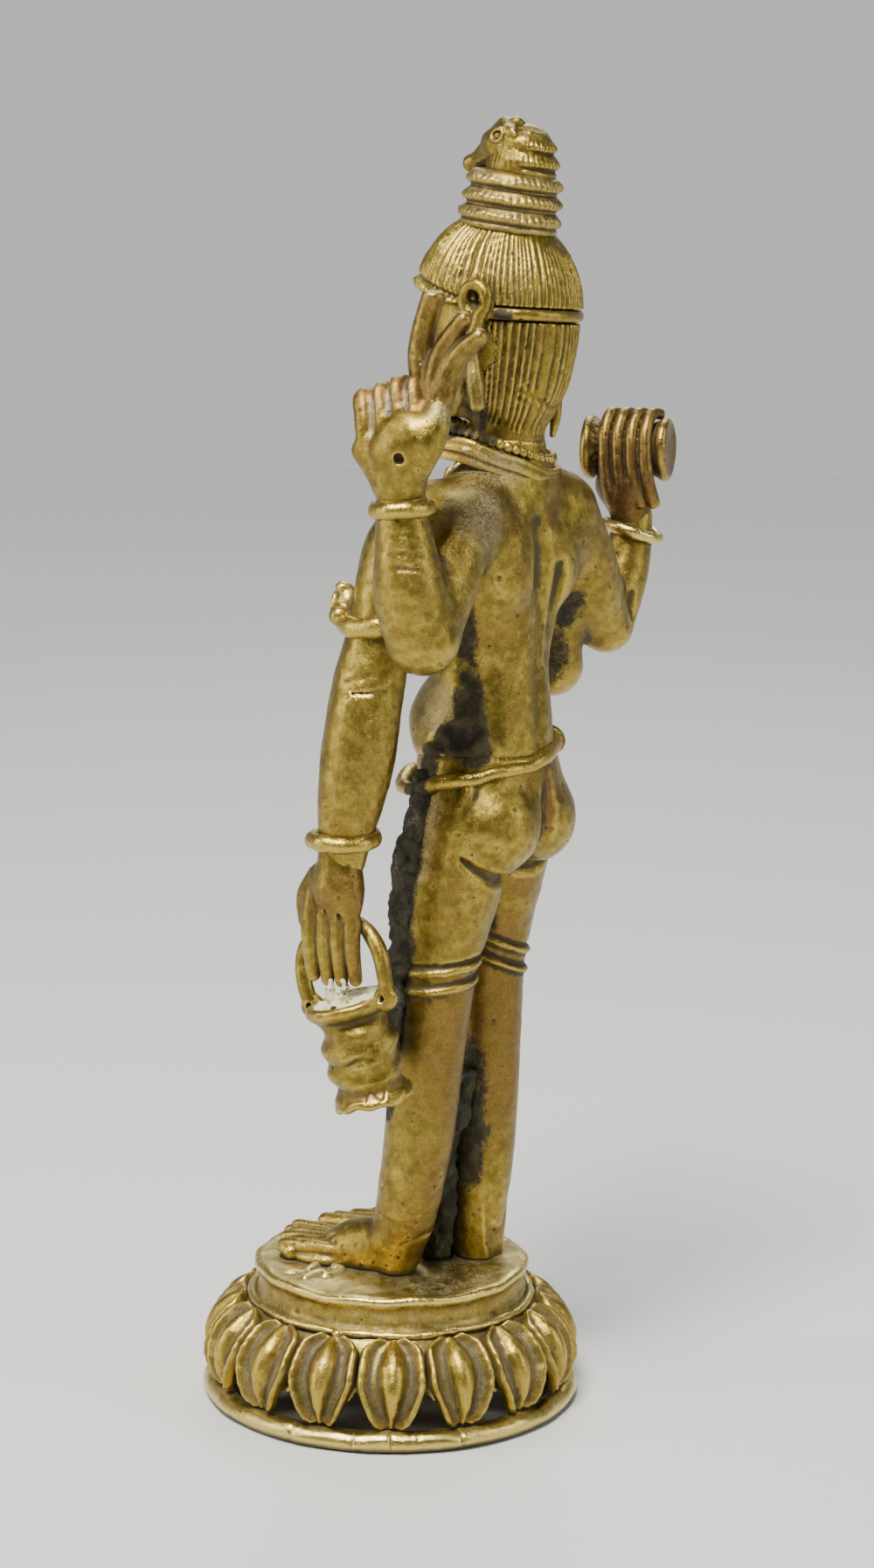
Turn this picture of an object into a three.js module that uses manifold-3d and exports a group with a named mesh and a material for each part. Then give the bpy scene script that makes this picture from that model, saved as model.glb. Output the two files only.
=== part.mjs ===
// Small cast-brass figure of a standing four-armed deity on a round openwork lotus base.
// The figure faces -Y, its own left side is +X, +Z is up, and every length is in millimetres.
// Each formed element of the casting (petals, plinth, limbs, ornaments) is its own solid, and
// neighbouring elements keep a narrow seam between them where the real ones are brazed or fused.
import * as THREE from "three";
import { mergeVertices } from "three/addons/utils/BufferGeometryUtils.js";
import Module from "manifold-3d";

const wasm = await Module();
wasm.setup();

// ---------------------------------------------------------------- driving dimensions
const SEAM = 0.3; // gap left between neighbouring solids
const PETALS = 16;
const RING_OUTER = 22.6; // foot ring of the base
const RING_INNER = 19.6;
const RING_HEIGHT = 2.4;
const PLATE_TOP = 16.4; // surface the feet stand on
const PLATE_RADIUS = 16.4;
const DRUM_RADIUS = 15.5; // plinth wall under the plate lip
const COLLAR_Z = 12.2; // thin coil between plinth wall and petals
const COLLAR_RADIUS = 16.7;
const BODY_X = -1.5; // the figure's own centre plane
const FOOT_LENGTH = 22.5; // heel to great toe
const CREST_TOP = 150; // overall height

// ---------------------------------------------------------------- colours
const BRASS = { color: 0x9a8344, roughness: 0.45, metalness: 0.9 };
const WORN = { color: 0xb89c50, roughness: 0.36, metalness: 0.92 };
const BROWN = { color: 0x7c5f3c, roughness: 0.5, metalness: 0.85 };
const CRUST = { color: 0x2f2c25, roughness: 0.92, metalness: 0.1 };
const steel = (m) => new THREE.MeshStandardMaterial(m);

// ---------------------------------------------------------------- solids from three.js geometry
function solid(geometry) {
  const g = geometry.clone();
  for (const name of Object.keys(g.attributes))
    if (name !== "position") g.deleteAttribute(name);
  const m = mergeVertices(g, 1e-4);
  const pos = new Float32Array(m.attributes.position.array);
  const src = m.index.array;
  const keep = [];
  for (let i = 0; i < src.length; i += 3) {
    const [a, b, c] = [src[i], src[i + 1], src[i + 2]];
    if (a !== b && b !== c && a !== c) keep.push(a, b, c);
  }
  const make = (tri) =>
    new wasm.Manifold(
      new wasm.Mesh({ numProp: 3, vertProperties: pos, triVerts: new Uint32Array(tri) }),
    );
  let s = make(keep);
  if (s.volume() < 0) {
    for (let i = 0; i < keep.length; i += 3) [keep[i + 1], keep[i + 2]] = [keep[i + 2], keep[i + 1]];
    s = make(keep);
  }
  return s;
}
const join = (...list) => list.flat().reduce((a, b) => a.add(b));
function largest(s) {
  const bodies = s.decompose();
  return bodies.reduce((a, b) => (b.volume() > a.volume() ? b : a));
}

const V = (p) => new THREE.Vector3(p[0], p[1], p[2]);

// A round bar from a to b whose radius runs from ra to rb, with spherical ends.
function bar(a, b, ra, rb, g = 0, seg = 8) {
  ra += g;
  rb += g;
  const A = V(a), B = V(b), L = A.distanceTo(B);
  const s = Math.max(-0.95, Math.min(0.95, (ra - rb) / Math.max(L, 1e-6)));
  const t = Math.asin(s);
  const pts = [new THREE.Vector2(0, -ra)];
  const n = 2;
  for (let i = 1; i <= n; i++) {
    const q = -Math.PI / 2 + ((t + Math.PI / 2) * i) / n;
    pts.push(new THREE.Vector2(ra * Math.cos(q), ra * Math.sin(q)));
  }
  for (let i = 0; i < n; i++) {
    const q = t + ((Math.PI / 2 - t) * i) / n;
    pts.push(new THREE.Vector2(rb * Math.cos(q), L + rb * Math.sin(q)));
  }
  pts.push(new THREE.Vector2(0, L + rb));
  const geo = new THREE.LatheGeometry(pts, seg);
  const q = new THREE.Quaternion().setFromUnitVectors(
    new THREE.Vector3(0, 1, 0),
    B.clone().sub(A).normalize(),
  );
  geo.applyQuaternion(q);
  geo.translate(A.x, A.y, A.z);
  return solid(geo);
}
// One skin swept through [x, y, z, r] stations, with rounded ends.
function limb(st, g = 0, seg = 10, capRings = [0.98, 0.7]) {
  const P = st.map(V), R = st.map((s) => s[3] + g), n = st.length;
  const T = P.map((p, i) => P[Math.min(i + 1, n - 1)].clone().sub(P[Math.max(i - 1, 0)]).normalize());
  const rings = [];
  const cap = (i, sign) => {
    const out = [];
    for (const q of capRings)
      out.push([P[i].clone().addScaledVector(T[i], sign * R[i] * q), R[i] * Math.sqrt(1 - q * q), i]);
    return out;
  };
  rings.push(...cap(0, -1));
  P.forEach((p, i) => rings.push([p, R[i], i]));
  rings.push(...cap(n - 1, 1).reverse());
  const geo = new THREE.CylinderGeometry(1, 1, 1, seg, rings.length - 1);
  const pos = geo.attributes.position;
  // frames carried along the path without twist
  let u = new THREE.Vector3(0, 0, 1).cross(T[0]);
  if (u.lengthSq() < 0.04) u = new THREE.Vector3(1, 0, 0);
  const frames = rings.map(([, , i]) => {
    u = u.clone().addScaledVector(T[i], -u.dot(T[i])).normalize();
    return [u, new THREE.Vector3().crossVectors(T[i], u)];
  });
  for (let i = 0; i < pos.count; i++) {
    const k = Math.round((0.5 - pos.getY(i)) * (rings.length - 1));
    const [c, r] = rings[k], [a, b] = frames[k];
    const q = c.clone().addScaledVector(a, r * pos.getX(i)).addScaledVector(b, r * pos.getZ(i));
    pos.setXYZ(i, q.x, q.y, q.z);
  }
  return solid(geo);
}
// Two or more skins through consecutive runs of stations, for a limb that turns back on itself.
const bentLimb = (runs, g = 0, seg = 10) => join(runs.map((r) => limb(r, g, seg)));
// An ellipsoid, turned by Euler angles in degrees.
function blob(c, r, rot = [0, 0, 0], g = 0, w = 14, h = 9) {
  const geo = new THREE.SphereGeometry(1, w, h);
  geo.rotateX(Math.PI / 2);
  geo.scale(r[0] + g, r[1] + g, r[2] + g);
  const d = Math.PI / 180;
  geo.applyQuaternion(
    new THREE.Quaternion().setFromEuler(new THREE.Euler(rot[0] * d, rot[1] * d, rot[2] * d)),
  );
  geo.translate(c[0], c[1], c[2]);
  return solid(geo);
}
// A skin through horizontal ellipses [z, cx, cy, rx, ry], closed by flat ends.
function loft(rings, g = 0, seg = 20) {
  const n = rings.length;
  const geo = new THREE.CylinderGeometry(1, 1, 1, seg, n - 1);
  const p = geo.attributes.position;
  for (let i = 0; i < p.count; i++) {
    const k = Math.round((p.getY(i) + 0.5) * (n - 1));
    const [z, cx, cy, rx, ry] = rings[k];
    const dz = k === 0 ? -g : k === n - 1 ? g : 0;
    p.setXYZ(i, cx + (rx + g) * p.getX(i), cy + (ry + g) * p.getZ(i), z + dz);
  }
  return solid(geo);
}
// A ring of round wire lying in a turned plane: centre, half-axes, wire radius, tilt in degrees.
function wireRing(c, rx, ry, r, rot = [0, 0, 0], g = 0, seg = 28, sides = 8) {
  const geo = new THREE.TorusGeometry(1, 0.1, sides, seg);
  const p = geo.attributes.position;
  for (let i = 0; i < p.count; i++) {
    const x = p.getX(i), y = p.getY(i), z = p.getZ(i);
    const R = Math.hypot(x, y), ux = x / R, uy = y / R, o = ((R - 1) / 0.1) * (r + g);
    p.setXYZ(i, ux * (rx + o), uy * (ry + o), (z / 0.1) * (r + g));
  }
  const d = Math.PI / 180;
  geo.applyQuaternion(
    new THREE.Quaternion().setFromEuler(new THREE.Euler(rot[0] * d, rot[1] * d, rot[2] * d)),
  );
  geo.translate(c[0], c[1], c[2]);
  return solid(geo);
}
// A round tube along a smooth curve through points.
function tube(points, r, steps = 16, sides = 8, g = 0) {
  const curve = new THREE.CatmullRomCurve3(points.map(V));
  const ring = [];
  for (let i = 0; i < sides; i++) {
    const q = (2 * Math.PI * i) / sides;
    ring.push(new THREE.Vector2((r + g) * Math.cos(q), (r + g) * Math.sin(q)));
  }
  return solid(
    new THREE.ExtrudeGeometry(new THREE.Shape(ring), { steps, extrudePath: curve, bevelEnabled: false }),
  );
}
// A turned solid about an upright axis, from a closed or axis-to-axis profile of [r, z].
function turned(profile, seg = 48, at = [0, 0], tilt = null) {
  const geo = new THREE.LatheGeometry(profile.map(([r, z]) => new THREE.Vector2(r, z)), seg);
  geo.rotateX(Math.PI / 2);
  if (tilt) {
    const d = Math.PI / 180;
    geo.translate(-tilt.pivot[0], -tilt.pivot[1], -tilt.pivot[2]);
    geo.applyQuaternion(
      new THREE.Quaternion().setFromEuler(new THREE.Euler(tilt.rot[0] * d, tilt.rot[1] * d, tilt.rot[2] * d)),
    );
    geo.translate(tilt.pivot[0], tilt.pivot[1], tilt.pivot[2]);
  }
  geo.translate(at[0], at[1], 0);
  return solid(geo);
}

// ---------------------------------------------------------------- base
// Outward sweep of the petals: [radius, height] from the tip on the ring up to the collar.
const PETAL_SWEEP = [
  [21.1, 2.75], [21.7, 4.4], [21.6, 6.4], [20.9, 8.4], [19.6, 10.1], [17.9, 11.4], [17.35, 11.75],
];
function sweepAt(t) {
  const f = t * (PETAL_SWEEP.length - 1), i = Math.min(PETAL_SWEEP.length - 2, Math.floor(f)), u = f - i;
  const a = PETAL_SWEEP[i], b = PETAL_SWEEP[i + 1];
  return [a[0] + (b[0] - a[0]) * u, a[1] + (b[1] - a[1]) * u, b[0] - a[0], b[1] - a[1]];
}
function petal(k, g = 0) {
  const geo = new THREE.SphereGeometry(1, 8, 7);
  const p = geo.attributes.position;
  const mid = ((k + 0.664) / PETALS) * 2 * Math.PI;
  for (let i = 0; i < p.count; i++) {
    const a = p.getX(i), b = p.getY(i), c = p.getZ(i);
    const t = (b + 1) / 2;
    const [r, z, dr, dz] = sweepAt(t);
    const L = Math.hypot(dr, dz), nr = dz / L, nz = -dr / L; // outward normal of the sweep
    const w = 0.188 * Math.min(1, 0.62 + 0.7 * t); // half width as an angle
    const q = mid + Math.sign(a) * Math.pow(Math.abs(a), 0.8) * (w + g / 20);
    const off = c * (1.05 + g) - 0.6;
    const R = r + nr * off, Z = z + nz * off;
    p.setXYZ(i, R * Math.cos(q), R * Math.sin(q), Z);
  }
  return solid(geo);
}
const footRing = () =>
  turned([
    [RING_INNER + 0.5, 0], [RING_OUTER - 0.6, 0], [RING_OUTER, 0.8], [RING_OUTER - 0.15, 1.7],
    [RING_OUTER - 0.9, RING_HEIGHT], [RING_INNER + 0.7, RING_HEIGHT], [RING_INNER, 1.7], [RING_INNER, 0.6],
    [RING_INNER + 0.5, 0],
  ], 40);
// Plinth: plate with a proud lip, a short wall, and the flared skirt that backs the petals. Open underneath.
const plinth = () =>
  turned([
    [0, PLATE_TOP], [PLATE_RADIUS - 0.7, PLATE_TOP], [PLATE_RADIUS, PLATE_TOP - 0.5], [PLATE_RADIUS - 0.1, PLATE_TOP - 1.2],
    [DRUM_RADIUS, PLATE_TOP - 1.6], [DRUM_RADIUS - 0.1, COLLAR_Z + 0.9], [DRUM_RADIUS + 0.1, COLLAR_Z - 0.4],
    [DRUM_RADIUS + 1.3, 11.0], [18.1, 9.9], [19.4, 8.3], [20.0, 6.6],
    [18.9, 6.4], [17.0, 9.3], [13.6, 11.4], [13.4, 14.0], [0, 14.0],
  ], 32);
const collar = (g = 0) =>
  wireRing([0, 0, COLLAR_Z], COLLAR_RADIUS, COLLAR_RADIUS, 0.55, [0, 0, 0], g, 32, 5);

// ---------------------------------------------------------------- legs and feet
const LEFT_LEG = [
  [3.4, 12.2, 70, 6.0], [4.2, 11.2, 63.5, 5.6], [4.5, 9.8, 54.5, 4.5], [4.6, 8.4, 44, 4.3],
  [4.5, 7.0, 32, 4.0], [4.4, 5.3, 23, 3.5], [4.3, 4.6, 19.2, 3.3],
];
const RIGHT_LEG = [
  [-6.2, 11.6, 70, 5.8], [-6.8, 10.0, 63.5, 5.3], [-7.1, 8.7, 54.5, 4.4], [-7.1, 8.6, 44, 4.0],
  [-7.0, 8.4, 32, 3.8], [-7.0, 8.0, 23, 3.4], [-6.9, 7.8, 19.2, 3.2],
];
// A bare foot: heel, instep and five toes on a flat sole. side is +1 for the left foot.
function foot(x, y, side, turn) {
  const toes = [];
  const base = PLATE_TOP + SEAM;
  for (let i = 0; i < 5; i++) {
    const tx = x + side * (turn - 3.0 + i * 1.85), ty = y - FOOT_LENGTH + 1.5 + i * i * 0.24 + i * 0.35;
    const r = i === 0 ? 1.2 : 0.98 - i * 0.04;
    toes.push(limb([[x + side * (turn * 0.6 - 1.9 + i * 1.15), y - FOOT_LENGTH + 9.0, base + 1.2, 1.3], [tx, ty + r, base + 0.75, r]], 0, 5, [0.8]));
  }
  const body = join(
    bar([x, y - 2.9, base + 2.0], [x + side * (turn * 0.5 + 0.2), y - 11, base + 1.9], 2.9, 3.3),
    bar([x, y - 4.4, base + 3.0], [x + side * (turn * 0.6 + 0.6), y - 15, base + 1.2], 2.9, 2.7),
    ...toes,
  );
  return body;
}
// Everything below the sole plane is cut away, so both feet are flat.
function onPlate(s) {
  const floor = new THREE.BoxGeometry(60, 60, 10);
  floor.translate(0, 0, PLATE_TOP + SEAM - 5);
  return s.subtract(solid(floor));
}
const leftLeg = () => onPlate(join(limb(LEFT_LEG), foot(4.2, 7.6, 1, 0.6)));
const rightLeg = () => onPlate(join(limb(RIGHT_LEG), foot(-6.9, 8.6, -1, -0.2)));

// ---------------------------------------------------------------- trunk
const PELVIS = [
  [67.2, BODY_X, 12.8, 8.6, 5.6], [69.5, BODY_X, 13.0, 10.0, 6.7], [72.5, BODY_X, 12.9, 10.2, 7.4], [76, BODY_X, 12.3, 9.6, 7.6],
  [79.2, BODY_X, 11.7, 8.7, 7.6],
];
const pelvis = (g = 0) =>
  join(
    loft(PELVIS, g),
    blob([2.2, 15.4, 71.3], [5.3, 5.4, 5.6], [0, 0, 0], g),
    blob([-5.8, 14.9, 71.3], [4.8, 5.2, 5.5], [0, 0, 0], g),
  );
const TORSO = [
  [79.6, BODY_X, 11.3, 8.5, 7.8], [82, BODY_X, 11.2, 8.1, 7.9], [85.5, BODY_X, 11.6, 7.5, 7.2], [89, BODY_X, 12.3, 7.2, 6.2],
  [94, BODY_X, 12.9, 8.4, 5.9], [99, BODY_X, 13.2, 10.0, 6.2], [103.5, BODY_X, 13.3, 11.8, 6.1], [107.2, BODY_X, 13.4, 12.0, 5.4],
  [110, BODY_X, 13.7, 9.8, 4.9], [111.6, BODY_X, 13.9, 6.2, 4.4],
];
const torso = (g = 0) => loft(TORSO, g);
const NECK = [
  [111.9, BODY_X, 13.9, 4.6, 4.2], [115, BODY_X, 14.0, 4.2, 4.0], [119, BODY_X, 13.6, 4.6, 4.6],
];
const SKULL = { c: [BODY_X, 12.0, 127.2], r: [7.4, 8.1, 8.8] };
const skull = (g = 0) => blob(SKULL.c, SKULL.r, [0, 0, 0], g, 16, 9);
const head = () =>
  join(
    loft(NECK, 0, 14),
    skull(),
    blob([BODY_X, 9.0, 121.6], [5.6, 5.3, 5.2], [0, 0, 0], 0, 12, 8), // lower face, even oval
    bar([BODY_X, 4.1, 127.0], [BODY_X, 3.1, 124.0], 0.6, 1.0, 0, 6), // nose
    blob([BODY_X, 4.0, 121.2], [1.9, 0.9, 0.8], [0, 0, 0], 0, 8, 5), // lips
  );

// ---------------------------------------------------------------- hair and topknot
const CAP = { c: [BODY_X, 12.2, 128.6], r: [9.2, 9.9, 10.2] };
const HAIRLINE = 132.4; // height of the hair's edge over the brow
const BAND_Z = 127.7; // band that ties round the back of the head
function slab(size, at, tiltX) {
  const b = new THREE.BoxGeometry(...size);
  b.rotateX(tiltX);
  b.translate(...at);
  return solid(b);
}
const faceCut = () => slab([40, 26, 30], [BODY_X, -0.6, HAIRLINE - 15], -0.32);
function hairCap() {
  return blob(CAP.c, CAP.r, [0, 0, 0], 0, 18, 11)
    .subtract(skull(SEAM)).subtract(faceCut())
    .subtract(slab([40, 60, 30], [BODY_X, 13.6, BAND_Z + 0.8 - 15], -0.06));
}
function hairBand() {
  return loft([[126.3, BODY_X, 12.3, 8.8, 10.0], [127.1, BODY_X, 12.3, 9.1, 10.3], [128.2, BODY_X, 12.3, 9.2, 10.3], [129.6, BODY_X, 12.3, 9.0, 10.1]], 0, 22)
    .subtract(skull(SEAM)).subtract(faceCut())
    .subtract(slab([40, 60, 30], [BODY_X, 13.6, BAND_Z + 0.5 + 15], -0.06))
    .subtract(slab([40, 60, 30], [BODY_X, 13.6, BAND_Z - 0.9 - 15], -0.06))
    .subtract(slab([40, 12, 30], [BODY_X, 7.4, BAND_Z], 0));
}
const KNOT_TILT = { pivot: [BODY_X, 14.6, 141], rot: [-9, 0, 0] };
const flare = (z, r, h) =>
  turned([[0, z], [r - 0.6, z], [r, z + h - 1.3], [r - 0.1, z + h - 0.9], [r - 0.75, z + h], [0, z + h]], 20).translate([BODY_X, 14.6, 0]);
function tiltKnot(s) {
  const [x, y, z] = KNOT_TILT.pivot;
  return s.translate([-x, -y, -z]).rotate(KNOT_TILT.rot).translate([x, y, z]);
}
const knotLow = () => tiltKnot(flare(137.0, 5.75, 2.9));
const knotMid = () => tiltKnot(flare(140.2, 5.55, 1.6));
const knotTop = () => tiltKnot(flare(142.1, 5.3, 1.6));
const dome = () =>
  tiltKnot(turned([[0, 144.0], [4.9, 144.0], [5.1, 144.5], [4.2, 145.4], [4.4, 146.0], [3.5, 147.2], [3.0, 148.3], [1.6, 149.2], [0, 149.5]], 18).translate([BODY_X, 14.9, 0]));
const crest = (g = 0) =>
  join(
    limb([[BODY_X, 14.0, 146.6, 2.2], [BODY_X, 12.4, 147.2, 2.35], [BODY_X, 9.3, 145.3, 1.15]], g, 8, [0.85]),
    limb([[BODY_X, 12.4, 148.0, 1.6], [BODY_X, 13.2, CREST_TOP - 1.0, 1.0]], g, 8, [0.999]),
    blob([BODY_X, 11.4, 144.7], [1.1, 1.5, 1.0], [0, 0, 0], g, 8, 6),
  );
const NAPE = [
  [114.6, BODY_X, 15.6, 3.2, 3.2], [115.8, BODY_X, 15.1, 3.7, 3.9], [117.2, BODY_X, 14.2, 5.2, 6.0], [119.5, BODY_X, 13.4, 6.0, 7.7], [123.0, BODY_X, 12.8, 6.9, 9.0], [127.6, BODY_X, 12.3, 8.4, 9.9],
];
// The head turns a little to its own left, so the left ear sits farther back than the right.
const earY = (s) => (s > 0 ? 15.6 : 12.6);
const ear = (s, g = 0) =>
  join(
    blob([BODY_X + s * 8.4, earY(s), 129.8], [1.2, 1.7, 2.0], [0, 0, s * 10], g, 10, 7),
    bar([BODY_X + s * 8.7, earY(s), 129.0], [BODY_X + s * 9.2, earY(s), 126.2], 0.8 + g, 0.6 + g, 0, 8),
  );
const napeHair = () =>
  loft(NAPE, 0, 20)
    .subtract(slab([40, 60, 30], [BODY_X, 13.6, BAND_Z - 1.2 + 15], -0.06))
    .subtract(slab([40, 12, 30], [BODY_X, 6.8, 120], 0))
    .subtract(skull(SEAM)).subtract(loft(NECK, SEAM, 14));
const earring = (s) =>
  join(
    limb([[BODY_X + s * 9.5, earY(s), 125.0, 0.6], [BODY_X + s * 9.6, earY(s) + 0.3, 121.5, 0.75], [BODY_X + s * 9.5, earY(s) + 0.9, 118.3, 0.95]], 0, 6, [0.8]),
    limb([[BODY_X + s * 9.6, earY(s) - 0.5, 124.6, 0.6], [BODY_X + s * 9.7, earY(s) - 1.3, 121.0, 0.85], [BODY_X + s * 9.4, earY(s) - 2.7, 117.6, 0.95]], 0, 6, [0.8]),
  );

// ---------------------------------------------------------------- necklace and girdle
const NECKLACE_TILT = [-13, 0, 0];
const ribbon = (g = 0) => wireRing([BODY_X, 12.0, 112.6], 8.2, 6.9, 1.0, NECKLACE_TILT, g, 24, 6);
const beadRow = () => wireRing([BODY_X, 12.3, 114.1], 7.3, 6.0, 0.42, NECKLACE_TILT, 0, 24, 5);
const pendant = () => blob([BODY_X, 5.7, 107.2], [1.9, 1.0, 2.1], [-12, 0, 0], 0, 10, 8);
const girdle = (g = 0) => wireRing([BODY_X, 10.9, 77.5], 10.9, 9.4, 0.72, [5, 5, 0], g, 28, 6);

// ---------------------------------------------------------------- arms
const LEFT_REAR_ARM = [
  [[8.6, 15.6, 106.4, 3.6], [13.0, 16.4, 101.5, 4.1], [18.4, 17.3, 93.6, 3.7]],
  [[18.8, 17.2, 93.4, 3.7], [20.2, 16.9, 98.0, 4.0], [21.4, 16.6, 105.4, 2.85]],
];
const RIGHT_REAR_ARM = [
  [[-10.4, 15.4, 106.0, 4.2], [-15.4, 15.2, 99.8, 4.0], [-22.0, 14.2, 92.0, 3.2]],
  [[-22.4, 14.2, 92.0, 3.2], [-24.6, 14.8, 97.5, 3.1], [-25.8, 15.2, 101.8, 2.6]],
];
const LEFT_FRONT_ARM = [
  [10.6, 11.4, 106.2, 3.8], [13.2, 10.2, 103.0, 3.8], [15.6, 9.4, 94.0, 3.6], [17.2, 8.8, 87.0, 4.0], [18.3, 8.3, 79.5, 4.1], [19.3, 7.6, 71.6, 3.1],
];
const RIGHT_FRONT_ARM = [
  [[-12.6, 11.6, 104.8, 3.8], [-14.6, 11.6, 95.0, 3.6], [-15.6, 11.2, 87.6, 3.5]],
  [[-15.6, 10.8, 87.2, 3.5], [-14.9, 4.2, 91.0, 3.2], [-14.6, 0.8, 94.2, 2.5]],
];
const leftRearArm = (g = 0) => bentLimb(LEFT_REAR_ARM, g);
const rightRearArm = (g = 0) => bentLimb(RIGHT_REAR_ARM, g);
const leftFrontArm = (g = 0) => limb(LEFT_FRONT_ARM, g);
const rightFrontArm = (g = 0) => bentLimb(RIGHT_FRONT_ARM, g);
const armlet = (g = 0) => wireRing([15.3, 9.5, 95.0], 4.7, 4.7, 0.75, [4, 12, 0], g, 22, 6);
const armletJewel = () => blob([16.8, 4.2, 96.6], [1.5, 1.2, 2.2], [0, 0, 20], 0, 10, 8);

// A closed hand: palm, four folded fingers side by side, thumb.
function fingerRow(base, across, up, forward, count, r, g = 0) {
  r += g;
  const out = [];
  const b = V(base), a = V(across), u = V(up), f = V(forward);
  for (let i = 0; i < count; i++) {
    const k = i - (count - 1) / 2;
    const p0 = b.clone().addScaledVector(a, k);
    const p2 = p0.clone().add(u).addScaledVector(f, 0.2);
    const p3 = p0.clone().add(u).add(f);
    out.push(limb([[...p0.toArray(), r], [...p2.toArray(), r], [...p3.toArray(), r * 0.85]], 0, 5, [0.75]));
  }
  return join(out);
}
const leftRearHand = (g = 0) =>
  join(
    limb([[21.8, 16.5, 110.4, 2.8], [22.1, 16.5, 112.6, 3.2], [22.2, 16.6, 114.4, 3.4]], g, 10, [0.8]),
    blob([22.3, 16.8, 114.6], [2.6, 4.8, 3.8], [0, 0, -18], g, 8, 6),
    fingerRow([22.0, 15.4, 115.5], [-0.5, 1.8, 0.15], [-0.6, -0.9, 4.6], [-3.0, 0.6, 0.4], 4, 1.15, g),
    bar([21.6, 20.2, 113.8], [20.6, 20.6, 118.0], 1.35 + g, 1.15 + g, 0, 6),
  );
const rightRearHand = () =>
  join(
    bar([-26.0, 15.3, 104.9], [-25.6, 15.0, 107.0], 2.4, 2.8),
    blob([-24.4, 14.6, 108.4], [2.2, 3.7, 2.6], [0, 0, -10], 0, 8, 6),
    fingerRow([-22.9, 15.3, 108.6], [-0.2, 1.5, 0.05], [0.3, -0.6, 6.4], [-3.0, 0, 1.8], 4, 0.9),
  );
const leftFrontHand = () =>
  join(
    bar([19.7, 7.2, 68.2], [19.9, 7.0, 66.2], 2.7, 3.0),
    blob([20.0, 6.9, 64.6], [2.2, 3.7, 3.8], [0, 0, -8], 0, 8, 6),
    fingerRow([20.5, 6.7, 62.4], [-0.35, 1.7, 0.05], [0.2, 0.0, -4.6], [-1.0, 0.1, -2.6], 4, 1.0),
    bar([19.6, 4.2, 65.2], [19.6, 3.0, 61.2], 1.3, 1.0, 0, 8),
  );
const rightFrontHand = () =>
  join(
    bar([-14.5, -1.2, 96.4], [-14.4, -1.8, 98.6], 2.2, 2.6),
    blob([-14.4, -2.2, 101.2], [3.5, 1.7, 3.6], [8, 0, 0], 0, 8, 6),
    fingerRow([-14.4, -2.4, 103.2], [1.7, 0, 0], [0, 0.3, 4.0], [0, 0.5, 3.0], 4, 0.95),
    bar([-11.4, -2.3, 101.0], [-10.2, -2.6, 104.8], 1.2, 0.95, 0, 8),
  );
const bangleLR = () => wireRing([21.6, 16.5, 107.6], 2.98, 2.98, 0.8, [0, 6, 0], 0, 20, 6);
const bangleRR = () => wireRing([-26.0, 15.2, 103.1], 3.3, 3.3, 0.7, [-14, -6, 0], 0, 20, 6);
const bangleLF = () => wireRing([19.5, 7.4, 69.8], 4.0, 4.0, 0.7, [0, 4, 0], 0, 20, 6);
const bangleRF = () => wireRing([-14.55, -0.1, 95.2], 3.1, 3.1, 0.65, [42, 0, 0], 0, 20, 6);

// ---------------------------------------------------------------- things held
const prongs = () =>
  join(
    limb([[20.6, 19.4, 120.2, 1.25], [20.2, 18.9, 123.4, 1.35], [20.4, 19.4, 127.2, 1.2], [20.6, 20.5, 129.9, 1.1]], 0, 6, [0.8]),
    limb([[20.8, 20.6, 118.9, 1.3], [20.3, 21.0, 122.4, 1.35], [19.9, 22.1, 125.6, 1.15], [20.0, 23.7, 128.0, 0.95]], 0, 6, [0.8]),
    limb([[20.6, 21.4, 118.7, 1.3], [19.8, 23.0, 121.6, 1.3], [19.2, 24.2, 124.0, 1.1], [19.0, 25.4, 126.3, 0.95]], 0, 6, [0.8]),
    blob([20.7, 20.4, 119.6], [1.3, 1.9, 1.7], [0, 0, 0], 0, 8, 6),
  );
const handDrum = (g = 0) => {
  const p = [[0, 0], [3.4 + g, 0], [3.9 + g, 0.4], [3.8 + g, 1.2], [3.1 + g, 2.2], [2.4 + g, 4.2], [2.4 + g, 6.4], [3.1 + g, 8.4], [3.8 + g, 9.4], [3.9 + g, 10.2], [3.4 + g, 10.6], [0, 10.6]];
  const geo = new THREE.LatheGeometry(p.map(([r, h]) => new THREE.Vector2(r, h)), 16);
  geo.translate(0, -5.3, 0);
  geo.rotateZ(0.36);
  geo.translate(-26.2, 14.3, 112.8);
  return solid(geo);
};
const POT_TILT = [13, 8, 0];
const POT_AT = [19.0, 7.9, 51.9]; // middle of the pot mouth
function hang(s) {
  return s.rotate(POT_TILT).translate(POT_AT);
}
const pot = (g = 0) =>
  hang(turned([
    [0, -1.2], [3.3, -1.2], [4.0, 0.3], [4.75 + g, 0.3], [5.0 + g, -0.3], [4.6 + g, -1.0], [3.6 + g, -1.7], [3.5 + g, -2.6],
    [4.0 + g, -3.6], [4.3 + g, -4.9], [4.1 + g, -6.2], [4.25 + g, -7.2], [3.9 + g, -8.6], [3.7 + g, -9.8], [4.5 + g, -11.3], [4.5 + g, -11.8], [0, -11.8],
  ], 18));
const potHandle = (g = 0) =>
  hang(tube([[0, -5.45, -0.4], [-0.2, -5.75, 2.2], [-0.8, -5.5, 5.6], [-1.6, -3.0, 8.2], [-1.9, 0.2, 9.0], [-1.6, 3.2, 8.2], [-0.8, 5.4, 5.6], [-0.2, 5.75, 2.2], [0, 5.45, -0.4]], 0.85, 20, 6, g));

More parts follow.
